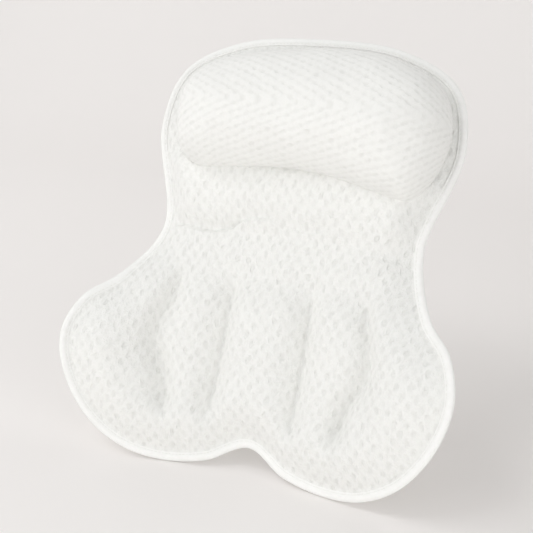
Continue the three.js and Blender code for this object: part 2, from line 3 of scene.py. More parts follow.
import logging
import math
from dataclasses import dataclass, field
from enum import Enum, IntEnum
from typing import Optional, Sequence

import bmesh
import bpy
import numpy as np
from bpy.types import ID, Material, Mesh, Node, NodeInputs, NodeSocket, NodeTree, Object
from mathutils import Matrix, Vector


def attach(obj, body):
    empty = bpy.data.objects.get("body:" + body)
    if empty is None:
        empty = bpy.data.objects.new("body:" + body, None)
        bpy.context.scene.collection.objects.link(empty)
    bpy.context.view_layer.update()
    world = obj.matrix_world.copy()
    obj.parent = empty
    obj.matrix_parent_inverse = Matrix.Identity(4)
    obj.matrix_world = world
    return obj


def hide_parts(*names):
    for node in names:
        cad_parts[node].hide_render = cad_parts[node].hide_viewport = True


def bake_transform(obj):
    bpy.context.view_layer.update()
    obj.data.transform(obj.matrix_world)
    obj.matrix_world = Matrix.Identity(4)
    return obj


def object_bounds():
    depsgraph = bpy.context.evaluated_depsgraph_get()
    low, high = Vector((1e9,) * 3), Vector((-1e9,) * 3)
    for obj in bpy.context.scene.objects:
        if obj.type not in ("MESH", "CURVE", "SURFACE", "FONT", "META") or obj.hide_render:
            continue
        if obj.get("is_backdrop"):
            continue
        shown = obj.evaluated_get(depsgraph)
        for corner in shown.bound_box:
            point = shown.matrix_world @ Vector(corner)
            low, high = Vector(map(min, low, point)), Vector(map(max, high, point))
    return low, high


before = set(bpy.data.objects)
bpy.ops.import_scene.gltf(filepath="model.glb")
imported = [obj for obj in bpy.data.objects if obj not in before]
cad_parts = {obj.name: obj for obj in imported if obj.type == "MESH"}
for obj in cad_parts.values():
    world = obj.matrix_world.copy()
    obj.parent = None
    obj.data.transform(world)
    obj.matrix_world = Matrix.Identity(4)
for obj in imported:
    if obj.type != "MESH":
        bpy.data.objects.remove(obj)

MM = 0.001
FLOOR_GAP = 0.3 * MM
LOG = logging.getLogger("bath_pillow")


class Body(Enum):
    """The two halves of the pad, which turn about the neck crease."""

    SHOULDERS = "shoulders"
    HEAD = "head"


class Side(Enum):
    """The two columns of suction cups, with the sign of their place across."""

    LEFT = -1
    RIGHT = 1


class CupRow(Enum):
    """The rows of suction cups, with their height above the crease in millimetres."""

    HEAD = 110.0
    MIDDLE = -32.0
    LOWER = -104.0


class Corner(IntEnum):
    """Corners of the pad's outline on its right half, by number from the notch."""

    NOTCH = 0
    INNER_FOOT = 1
    OUTER_FOOT = 2
    WING_FOOT = 4
    NECK = 9
    HEAD_SHOULDER = 11
    TOP = 13


# Numbers


def smooth(value: np.ndarray, low: float, high: float) -> np.ndarray:
    """Smooth step from 0 at low to 1 at high.

    Args:
        value: Numbers to map.
        low: Where the step starts.
        high: Where the step ends.

    Returns:
        The step's height at each number.
    """
    t = np.clip((np.asarray(value, float) - low) / (high - low), 0.0, 1.0)
    return t * t * (3.0 - 2.0 * t)


def swell(distance: np.ndarray, run: float) -> np.ndarray:
    """Quarter sine from 0 at an edge to 1 at the run's end, as stuffed cloth rises from a seam."""
    return np.sin(0.5 * math.pi * np.clip(distance / run, 0.0, 1.0))


def mix(low: np.ndarray, high: np.ndarray, share: np.ndarray) -> np.ndarray:
    """Straight mix of two values."""
    return low + (high - low) * share


def catmull(points: np.ndarray, at: np.ndarray, closed: bool) -> np.ndarray:
    """Points of a centripetal Catmull-Rom curve.

    Args:
        points: Curve points, one row each.
        at: Places on the curve, counted in points from the first.
        closed: Whether the curve runs back to its first point.

    Returns:
        One row for each place.
    """
    count = len(points)
    at = np.asarray(at, float)
    if closed:
        base = np.floor(at).astype(int)
        rows = [points[(base + k) % count] for k in (-1, 0, 1, 2)]
    else:
        base = np.clip(np.floor(at).astype(int), 0, count - 2)
        ends = np.vstack([2 * points[0] - points[1], points, 2 * points[-1] - points[-2]])
        rows = [ends[base + k + 1] for k in (-1, 0, 1, 2)]
    part = (at - base)[..., None]
    a, b, c, d = rows
    d0, d1, d2 = (np.sqrt(np.linalg.norm(q - p, axis=-1, keepdims=True)) for p, q in ((a, b), (b, c), (c, d)))
    start = ((b - a) / d0 - (c - a) / (d0 + d1) + (c - b) / d1) * d1
    stop = ((c - b) / d1 - (d - b) / (d1 + d2) + (d - c) / d2) * d1
    c2 = -3 * b + 3 * c - 2 * start - stop
    c3 = 2 * b - 2 * c + start + stop
    return b + start * part + c2 * part**2 + c3 * part**3


def line_distance(points: np.ndarray, places: np.ndarray) -> np.ndarray:
    """Least distance from each place to a chain of straight pieces.

    Args:
        points: The chain's corners, one row each.
        places: Places, in the last axis the same directions as the corners.

    Returns:
        One distance for each place.
    """
    here = places.reshape(-1, places.shape[-1])
    least = np.full(len(here), np.inf)
    for start, stop in zip(points[:-1], points[1:]):
        along = stop - start
        length = float(along @ along)
        if length < 1e-12:
            continue
        share = np.clip((here - start) @ along / length, 0.0, 1.0)
        least = np.minimum(least, np.linalg.norm(here - start - share[:, None] * along, axis=-1))
    return least.reshape(places.shape[:-1])


def ripple(x: np.ndarray, z: np.ndarray, scale: float, seed: int) -> np.ndarray:
    """Soft random swell of cloth, the same on every run.

    Args:
        x: Places across.
        z: Places up.
        scale: Typical width of a swell.
        seed: Picks the pattern.

    Returns:
        Heights from about -1 to 1.
    """
    rng = np.random.default_rng(seed)
    total = np.zeros(np.shape(x))
    waves = 14
    shortest, longest = 0.7, 1.6
    for _ in range(waves):
        angle = rng.uniform(0, 2 * math.pi)
        length = scale * rng.uniform(shortest, longest)
        phase = rng.uniform(0, 2 * math.pi)
        total += np.sin((x * math.cos(angle) + z * math.sin(angle)) * 2 * math.pi / length + phase)
    return total / math.sqrt(waves)


def run_length(points: np.ndarray) -> np.ndarray:
    """Length of a chain of points from its first to each of them."""
    return np.concatenate([[0], np.cumsum(np.linalg.norm(np.diff(points, axis=0), axis=1))])


def even_points(points: np.ndarray, count: int) -> np.ndarray:
    """Points at a count of even steps along a flat chain, with both its ends."""
    gone = run_length(points)
    even = np.linspace(0, gone[-1], count + 1)
    return np.stack([np.interp(even, gone, points[:, k]) for k in (0, 1)], -1)


# The pad


@dataclass(frozen=True)
class Lean:
    """How the pad's own frame lies in the object's frame: it leans back on the bath's sloping end."""

    degrees: float = 25.4
    cup_reach: float = 19.0

    def turn(self, way: np.ndarray) -> np.ndarray:
        """Directions of the pad's own frame in the object's frame."""
        c, s = math.cos(math.radians(self.degrees)), math.sin(math.radians(self.degrees))
        x, y, z = np.moveaxis(np.asarray(way, float), -1, 0)
        return np.stack([x, y * c + z * s, -y * s + z * c], -1)

    def place(self, points: np.ndarray) -> np.ndarray:
        """Points of the pad's own frame, in millimetres, as metres of the object's frame."""
        shifted = np.asarray(points, float) - np.array([0.0, self.cup_reach, 0.0])
        return self.turn(shifted) * MM


@dataclass
class Pad:
    """Plan and bend of the pad, in millimetres: x right, y back, z up from the neck crease."""

    height: float = 430.0
    wing_width: float = 390.0
    head_width: float = 316.0
    neck_width: float = 269.0
    neck_height: float = 232.0
    wing_tip_height: float = 105.0
    head_side_height: float = 330.0
    notch_depth: float = 27.5
    inner_valley_spacing: float = 80.0
    outer_valley_foot_spacing: float = 168.0
    outer_valley_top_spacing: float = 172.0
    outer_valley_bow: float = 232.0
    flat_width: float = 120.0
    wing_reach: float = 62.0
    curl_fade: float = 70.0
    lobe_reach: float = 15.0
    lobe_curl_start: float = 122.0
    cover: float = 3.0
    layer_gap: float = 0.3
    tape: float = 1.0
    tape_width: float = 9.0
    pressed_seam: float = 4.4
    tape_gap: float = 0.4
    valley_full: float = 66.0
    valley_foot_full: float = 152.0
    cup_across: float = 48.0
    valley_knee_share: float = 0.55
    ring_cuts: int = 20
    valley_cuts: int = 50
    valley_steps: int = 100
    run_steps: int = 240
    probe: float = 0.01
    lean: Lean = field(default_factory=Lean)

    def __post_init__(self) -> None:
        """Works out the outline and the valley lines."""
        self.margin = self.tape_width + self.tape_gap
        self.rim = self.tape + self.tape_gap
        self.points = self._outline_points()
        count = len(self.points)
        self.ring = catmull(self.points, np.linspace(0, count, count * self.ring_cuts + 1), True)
        self.outer_valley = self._outer_valley()
        inner_foot = self.inset(np.array([Corner.INNER_FOOT]), self.margin)[0]
        self.inner_valley = np.array([[self.inner_valley_spacing / 2, 0.0], inner_foot])

    def _outer_valley(self) -> np.ndarray:
        """Line of the right outer valley, from the crease bowed out and back in to its foot."""
        bow, top = self.outer_valley_bow / 2, self.outer_valley_top_spacing / 2
        foot = self.inset(np.array([Corner.OUTER_FOOT]), self.margin)[0]
        knee = self.valley_knee_share
        corners = np.array([
            [top, 0.0],
            [mix(top, bow, knee), -self.valley_full],
            [bow, -mix(self.valley_full, self.valley_foot_full, knee)],
            [mix(bow, foot[0], knee), -self.valley_foot_full],
            foot,
        ])
        last = len(corners) - 1
        fine = catmull(corners, np.linspace(0, last, last * self.valley_cuts + 1), False)
        return even_points(fine, self.valley_steps)

    def _outline_points(self) -> np.ndarray:
        """Corners of the closed outline, from the notch round the right side and back."""
        wing, head, neck = self.wing_width / 2, self.head_width / 2, self.neck_width / 2
        tip, waist, side = self.wing_tip_height, self.neck_height, self.head_side_height
        inner_foot_share = 0.29
        lobe_shares = ((0.626, 0.045), (0.807, 0.24), (0.948, 0.604))
        flank_shares = ((0.817, 0.695), (0.362, 0.453))
        shoulder_shares = ((0.9, 0.6), (0.54, 0.92))
        half = [
            (0.0, self.notch_depth),
            (self.inner_valley_spacing / 2, self.notch_depth * inner_foot_share),
            (self.outer_valley_foot_spacing / 2, 0.0),
            *((wing * across, tip * up) for across, up in lobe_shares),
            (wing, tip),
            *((mix(neck, wing, across), mix(waist, tip, up)) for across, up in flank_shares),
            (neck, waist),
            (head, side),
            *((head * across, mix(side, self.height, up)) for across, up in shoulder_shares),
            (0.0, self.height),
        ]
        half = np.array(half) - [0.0, waist]
        left = half[1:-1][::-1] * [-1.0, 1.0]
        return np.vstack([half, left])

    def outline(self, at: np.ndarray) -> np.ndarray:
        """Outline points by station number."""
        return catmull(self.points, at, True)

    def stations(self, start: float, stop: float, shares: np.ndarray) -> np.ndarray:
        """Station numbers that divide a run of the outline by shares of its length."""
        places = np.linspace(start, stop, self.run_steps + 1)
        lengths = run_length(self.outline(places))
        return np.interp(np.asarray(shares) * lengths[-1], lengths, places)

    def rear(self, x: np.ndarray, z: np.ndarray) -> np.ndarray:
        """How far back the bent rear face lies: the wings and lobes come forward."""
        flat = self.flat_width / 2
        out = np.maximum(0.0, np.abs(x) - flat) / (self.wing_width / 2 - flat)
        down = np.maximum(0.0, -z - self.lobe_curl_start) / (self.neck_height - self.lobe_curl_start)
        return -self.wing_reach * out**2 * smooth(-z, 0, self.curl_fade) - self.lobe_reach * down**2

    def normal(self, x: np.ndarray, z: np.ndarray) -> np.ndarray:
        """Unit direction out of the bent face, to the front."""
        step = self.probe
        across = (self.rear(x + step, z) - self.rear(x - step, z)) / (2 * step)
        up = (self.rear(x, z + step) - self.rear(x, z - step)) / (2 * step)
        way = np.stack([across, -np.ones_like(across), up], -1)
        return way / np.linalg.norm(way, axis=-1, keepdims=True)

    def stand(self, x: np.ndarray, z: np.ndarray, height: np.ndarray) -> np.ndarray:
        """Points standing a height in front of the bent rear face."""
        base = np.stack([x, self.rear(x, z), z], -1)
        return base + self.normal(x, z) * np.asarray(height, float)[..., None]

    def rear_cloth(self, x: np.ndarray, z: np.ndarray) -> np.ndarray:
        """Place on the flat rear cloth, in metres: the run along the bend across, and z up."""
        steps = 24
        probe = 5 * self.probe
        run = np.zeros(np.shape(x))
        for share in (np.arange(steps) + 0.5) / steps:
            slope = (self.rear(x * share + probe, z) - self.rear(x * share - probe, z)) / (2 * probe)
            run += np.hypot(1.0, slope) * x / steps
        return np.stack([run, z], -1) * MM

    def inset(self, at: np.ndarray, inset: np.ndarray) -> np.ndarray:
        """Plan points set in from the outline, measured along the bent face."""
        at = np.asarray(at, float)
        step = self.probe
        spot = self.outline(at)
        tangent = self.outline(at + step) - self.outline(at - step)
        tangent /= np.linalg.norm(tangent, axis=-1, keepdims=True)
        outward = np.stack([tangent[..., 1], -tangent[..., 0]], -1)
        inner = spot - outward * step
        slope = (self.rear(spot[..., 0], spot[..., 1]) - self.rear(inner[..., 0], inner[..., 1])) / step
        return spot - outward * (np.asarray(inset) / np.hypot(1.0, slope))[..., None]

    def edge_distance(self, x: np.ndarray, z: np.ndarray) -> np.ndarray:
        """Distance in from the outline, on the bent face."""
        ring_x, ring_z = self.ring.T
        ring = np.stack([ring_x, self.rear(ring_x, ring_z), ring_z], -1)
        return line_distance(ring, np.stack([x, self.rear(x, z), z], -1))


@dataclass
class PlanGrid:
    """Grid of plan points over the whole pad: columns left to right, rows from the foot to the top."""

    pad: Pad
    centre_cells: int = 9
    channel_cells: int = 12
    wing_cells: int = 15
    shoulder_rows: int = 48
    head_rows: int = 42
    crowding: float = 1.3
    corner_share: float = 0.35

    def __post_init__(self) -> None:
        """Builds the right half, mirrors it, and notes which columns run along the valleys."""
        shoulder = self._shoulders()
        head = self._head(shoulder[:, 0])
        right = np.concatenate([shoulder[:, ::-1], head[:, 1:]], axis=1)
        left = right[1:][::-1] * [-1.0, 1.0]
        self.plan = np.concatenate([left, right])
        middle = len(right) - 1
        inner = self.centre_cells
        outer = inner + self.channel_cells
        self.valley_columns = [middle - outer, middle - inner, middle + inner, middle + outer]

    def _half(
        self, guides: Sequence[np.ndarray], feet: Sequence[float], cells: Sequence[int]
    ) -> tuple[np.ndarray, np.ndarray]:
        """Fills between guide lines and bends the far row onto the outline's inset."""
        columns, stations = [], []
        rows = len(guides[0])
        rise = np.linspace(0, 1, rows)[:, None] ** 2
        for k, count in enumerate(cells):
            shares = np.linspace(0, 1, count + 1)
            if k < len(cells) - 1:
                shares = shares[:-1]
            run = self.pad.stations(feet[k], feet[k + 1], shares)
            ends = self.pad.inset(run, self.pad.margin)
            for share, end, station in zip(shares, ends, run):
                column = mix(guides[k], guides[k + 1], share)
                columns.append(column + rise * (end - column[-1]))
                stations.append(station)
        return np.array(columns), np.array(stations)

    def _margins(self, columns: np.ndarray, stations: np.ndarray, side: np.ndarray) -> np.ndarray:
        """Adds the strip under the tape past the far row and the outermost column."""
        corner = side[-1]
        share = self.corner_share
        side_edge = np.concatenate([side[:-1], [mix(corner, side[-2], share), corner]])
        end_edge = np.concatenate([stations[:-1], [mix(corner, stations[-2], share)]])
        end = self.pad.inset(end_edge, self.pad.rim)
        grid = np.concatenate([columns, end[:, None]], axis=1)
        return np.concatenate([grid, self.pad.inset(side_edge, self.pad.rim)[None]], axis=0)

    def _shoulders(self) -> np.ndarray:
        """Right half from the crease down."""
        pad = self.pad
        v = np.linspace(0, 1, self.shoulder_rows + 1) ** self.crowding
        side = pad.stations(Corner.NECK, Corner.WING_FOOT, v)
        notch = pad.inset(np.array([Corner.NOTCH]), pad.margin)[0]
        outer = pad.outer_valley
        at = np.linspace(0, 1, len(outer))
        guides = [
            np.stack([0 * v, notch[1] * v], -1),
            mix(pad.inner_valley[0], pad.inner_valley[1], v[:, None]),
            np.stack([np.interp(v, at, outer[:, k]) for k in (0, 1)], -1),
            pad.inset(side, pad.margin),
        ]
        cells = [self.centre_cells, self.channel_cells, self.wing_cells]
        feet = [Corner.NOTCH, Corner.INNER_FOOT, Corner.OUTER_FOOT, Corner.WING_FOOT]
        columns, stations = self._half(guides, feet, cells)
        return self._margins(columns, stations, side)

    def _head(self, crease: np.ndarray) -> np.ndarray:
        """Right half from the crease up, on the same columns."""
        pad = self.pad
        v = np.linspace(0, 1, self.head_rows + 1) ** self.crowding
        side = pad.stations(Corner.NECK, Corner.HEAD_SHOULDER, v)
        edge = pad.inset(side, pad.margin)
        across = crease[:-1, 0] / crease[-2, 0]
        feet = pad.stations(Corner.TOP, Corner.HEAD_SHOULDER, across)
        ends = pad.inset(feet, pad.margin)
        top = np.stack([0 * v, ends[0, 1] * v], -1)
        columns = []
        for share, end in zip(across, ends):
            column = mix(top, edge, share)
            columns.append(column + (v[:, None] ** 2) * (end - column[-1]))
        grid = self._margins(np.array(columns), feet, side)
        grid[:, 0] = crease
        return grid


def refine(grid: np.ndarray, times: int) -> np.ndarray:
    """Grid with each cell cut in several along both ways, on smooth curves through its points."""
    for axis in (0, 1):
        lined = np.moveaxis(grid, axis, 0)
        count = len(lined)
        at = np.arange((count - 1) * times + 1) / times
        base = np.minimum(at.astype(int), count - 2)
        part = (at - base).reshape((-1,) + (1,) * (lined.ndim - 1))
        ends = np.concatenate([2 * lined[:1] - lined[1:2], lined, 2 * lined[-1:] - lined[-2:-1]])
        a, b, c, d = (ends[base + k] for k in range(4))
        start, stop = (c - a) / 2, (d - b) / 2
        lined = b + start * part + (-3 * b + 3 * c - 2 * start - stop) * part**2
        lined = lined + (2 * b - 2 * c + start + stop) * part**3
        grid = np.moveaxis(lined, 0, axis)
    return grid


# Meshes


def add_object(name: str, data: ID) -> Object:
    """Adds an object with its mesh, lamp or camera to the scene."""
    item = bpy.data.objects.new(name, data)
    bpy.context.scene.collection.objects.link(item)
    return item


def numbered(*shape: int) -> np.ndarray:
    """Grid of point numbers, counted from 0."""
    return np.arange(math.prod(shape)).reshape(shape)


def loop_points(mesh: Mesh) -> np.ndarray:
    """Point number at each face corner of a mesh."""
    found = np.zeros(len(mesh.loops), int)
    mesh.loops.foreach_get("vertex_index", found)
    return found


def quads(number: np.ndarray) -> np.ndarray:
    """Point numbers at the corners of each cell of a grid of them."""
    return np.stack([number[:-1, :-1], number[1:, :-1], number[1:, 1:], number[:-1, 1:]], -1).reshape(-1, 4)


@dataclass
class Shell:
    """Points and faces of one closed piece, with its place on the flat cloth."""

    points: np.ndarray
    faces: list
    cloth: Optional[np.ndarray] = None

    def build(self, name: str, material: Material) -> Object:
        """Makes the Blender object, shaded smooth.

        Args:
            name: The piece's name.
            material: Its finish.

        Returns:
            The object, linked to the scene.
        """
        mesh = bpy.data.meshes.new(name)
        mesh.from_pydata(self.points.tolist(), [], self.faces)
        mesh.update()
        if self.cloth is not None:
            layer = mesh.uv_layers.new(name="cloth")
            places = self.cloth[loop_points(mesh)]
            layer.data.foreach_set("uv", places.astype(np.float32).ravel())
        work = bmesh.new()
        work.from_mesh(mesh)
        bmesh.ops.recalc_face_normals(work, faces=work.faces)
        work.to_mesh(mesh)
        work.free()
        mesh.polygons.foreach_set("use_smooth", [True] * len(mesh.polygons))
        mesh.materials.append(material)
        return add_object(name, mesh)


def flatten(face: np.ndarray, plan: np.ndarray) -> np.ndarray:
    """Lays a bent face of cloth flat with little stretch, so that a knit keeps its size all over it.

    Args:
        face: Grid of the face's points.
        plan: Its plan places, which say which way is up.

    Returns:
        Grid of flat places, in the unit of the points.
    """
    columns, rows = face.shape[:2]
    mesh = bpy.data.meshes.new("flattening")
    mesh.from_pydata(face.reshape(-1, 3).tolist(), [], quads(numbered(columns, rows)).tolist())
    mesh.uv_layers.new(name="flat")
    piece = add_object("flattening", mesh)
    bpy.context.view_layer.objects.active = piece
    piece.select_set(True)
    bpy.ops.object.mode_set(mode="EDIT")
    bpy.ops.mesh.select_all(action="SELECT")
    bpy.ops.uv.unwrap(method="MINIMUM_STRETCH", correct_aspect=False, margin=0.0, iterations=30)
    bpy.ops.object.mode_set(mode="OBJECT")
    places = np.zeros(len(mesh.loops) * 2)
    mesh.uv_layers["flat"].data.foreach_get("uv", places)
    flat = np.zeros((columns * rows, 2))
    flat[loop_points(mesh)] = places.reshape(-1, 2)
    bpy.data.objects.remove(piece, do_unlink=True)
    middle = (columns // 2, rows // 2)
    spot = (flat[:, 0] + 1j * flat[:, 1]).reshape(columns, rows)
    goal = plan[..., 0] + 1j * plan[..., 1]
    spot, goal = spot - spot[middle], goal - goal[middle]
    turns = [np.vdot(way, goal) for way in (spot, spot.conj())]
    spot, turn = (spot, turns[0]) if abs(turns[0]) > abs(turns[1]) else (spot.conj(), turns[1])
    true = np.linalg.norm(np.diff(face, axis=0), axis=-1).sum() / np.abs(np.diff(spot, axis=0)).sum()
    spot = spot * turn / abs(turn) * true
    return np.stack([spot.real, spot.imag], -1)


def slab(front: np.ndarray, back: np.ndarray, cloth: Optional[np.ndarray] = None) -> Shell:
    """Closed shell between two skins over the same grid, walled along its border."""
    number = numbered(*front.shape[:2])
    far = number + number.size
    faces = np.concatenate([quads(number), quads(far)[:, ::-1]]).tolist()
    loop = np.concatenate([number[:-1, 0], number[-1, :-1], number[:0:-1, -1], number[0, :0:-1]])
    under = loop + number.size
    for k in range(len(loop)):
        n = (k + 1) % len(loop)
        faces.append([int(loop[n]), int(loop[k]), int(under[k]), int(under[n])])
    points = np.concatenate([front.reshape(-1, 3), back.reshape(-1, 3)])
    places = None if cloth is None else np.concatenate([cloth.reshape(-1, 2)] * 2)
    return Shell(points, faces, places)


def sweep(rings: np.ndarray, closed: bool, cloth: Optional[np.ndarray] = None) -> Shell:
    """Closed shell through rings of points.

    Args:
        rings: One row of points for each ring.
        closed: Whether the last ring joins the first, or both ends are capped.
        cloth: Place on the cloth of each point.

    Returns:
        The shell.
    """
    number = numbered(*rings.shape[:2])
    number = np.concatenate([number, number[:, :1]], axis=1)
    if closed:
        faces = quads(np.concatenate([number, number[:1]])).tolist()
    else:
        faces = quads(number).tolist() + [number[0, :-1].tolist(), number[-1, :-1][::-1].tolist()]
    places = None if cloth is None else cloth.reshape(-1, 2)
    return Shell(rings.reshape(-1, 3), faces, places)


def inflate(shell: Shell, pinned: np.ndarray, pressure: float, cap: float) -> np.ndarray:
    """Lets a stuffed shell swell as cloth between its seams.

    Args:
        shell: The slightly slack shape, in metres.
        pinned: How firmly each point is held, from 0 to 1.
        pressure: Pressure of the stuffing.
        cap: The furthest that a point may move, in metres.

    Returns:
        The swollen points.
    """
    scene = bpy.context.scene
    frames = 20
    piece = shell.build("swelling", bpy.data.materials.new("swelling"))
    group = piece.vertex_groups.new(name="held")
    for weight in np.unique(np.round(pinned, 2)):
        if weight > 0:
            where = np.nonzero(np.round(pinned, 2) == weight)[0]
            group.add(where.tolist(), float(weight), "REPLACE")
    cloth = piece.modifiers.new("Swell", "CLOTH")
    knobs = cloth.settings
    knobs.quality = 6
    knobs.mass = 0.3
    knobs.tension_stiffness = 12
    knobs.compression_stiffness = 8
    knobs.shear_stiffness = 4
    knobs.bending_stiffness = 0.4
    knobs.vertex_group_mass = group.name
    knobs.use_pressure = True
    knobs.uniform_pressure_force = pressure
    knobs.effector_weights.gravity = 0.0
    cloth.collision_settings.use_collision = False
    cloth.point_cache.frame_start = 1
    cloth.point_cache.frame_end = frames
    for step in range(1, frames + 1):
        scene.frame_set(step)
    held = piece.evaluated_get(bpy.context.evaluated_depsgraph_get())
    swollen = np.zeros(len(shell.points) * 3)
    held.data.vertices.foreach_get("co", swollen)
    swollen = swollen.reshape(-1, 3)
    bpy.data.objects.remove(piece, do_unlink=True)
    scene.frame_set(1)
    move = swollen - shell.points
    far = np.linalg.norm(move, axis=1, keepdims=True)
    LOG.info("swell: mean %.1f mm, most %.1f mm", far.mean() / MM, far.max() / MM)
    return shell.points + move * np.minimum(1.0, cap / np.maximum(far, 1e-9))


# Finishes


def linear(code: str) -> tuple[float, float, float, float]:
    """Linear colour of an sRGB hex code."""
    parts = [int(code[k : k + 2], 16) / 255 for k in (1, 3, 5)]
    return (*[p / 12.92 if p <= 0.04045 else ((p + 0.055) / 1.055) ** 2.4 for p in parts], 1.0)


def feed(tree: NodeTree, node: Node, **entries) -> None:
    """Links sockets to a node's inputs, or sets values on them.

    Args:
        tree: The node tree.
        node: The node.
        **entries: Values or output sockets, by the input's name with _ for a space, or by in0, in1.
    """
    for name, value in entries.items():
        place = int(name[2:]) if name[:2] == "in" and name[2:].isdigit() else name.replace("_", " ")
        entry = node.inputs[place]
        if isinstance(value, NodeSocket):
            tree.links.new(value, entry)
        else:
            entry.default_value = value


def add_node(tree: NodeTree, kind: str, settings: Optional[dict] = None, **entries) -> Node:
    """Adds a node to a tree.

    Args:
        tree: The node tree.
        kind: The node's type name.
        settings: Attributes to set on it.
        **entries: What its inputs get, as in feed.

    Returns:
        The node.
    """
    node = tree.nodes.new(kind)
    for name, value in (settings or {}).items():
        setattr(node, name, value)
    feed(tree, node, **entries)
    return node


def calc(tree: NodeTree, operation: str, *values) -> NodeSocket:
    """Adds a Math node on numbers or sockets and returns its result."""
    entries = {f"in{k}": value for k, value in enumerate(values)}
    return add_node(tree, "ShaderNodeMath", {"operation": operation}, **entries).outputs[0]


def noise(tree: NodeTree, place: NodeSocket, size: float, detail: float) -> NodeSocket:
    """Adds soft noise with swells of a size in millimetres and returns its value."""
    node = add_node(tree, "ShaderNodeTexNoise", Vector=place, Scale=1 / (size * MM), Detail=detail)
    return node.outputs["Fac"]


def ramp_node(tree: NodeTree, value: NodeSocket, stops: Sequence[tuple]) -> NodeSocket:
    """Adds a colour ramp with stops of (place, hex code) and returns its colour."""
    node = add_node(tree, "ShaderNodeValToRGB", Fac=value)
    elements = node.color_ramp.elements
    while len(elements) < len(stops):
        elements.new(0.5)
    for element, (place, code) in zip(elements, stops):
        element.position, element.color = place, linear(code)
    return node.outputs["Color"]


def bump_node(tree: NodeTree, height: NodeSocket, strength: float, relief: float) -> NodeSocket:
    """Adds a bump of a relief in millimetres and returns its normal."""
    node = add_node(tree, "ShaderNodeBump", Height=height, Strength=strength, Distance=relief * MM)
    return node.outputs["Normal"]


@dataclass(frozen=True)
class Finish:
    """Common part of every finish: a principled surface by name."""

    name: str

    def start(self) -> tuple[Material, NodeTree, Node]:
        """Makes the material with its shader and output."""
        material = bpy.data.materials.new(self.name)
        material.use_nodes = True
        tree = material.node_tree
        tree.nodes.clear()
        shader = add_node(tree, "ShaderNodeBsdfPrincipled")
        add_node(tree, "ShaderNodeOutputMaterial", Surface=shader.outputs["BSDF"])
        return material, tree, shader


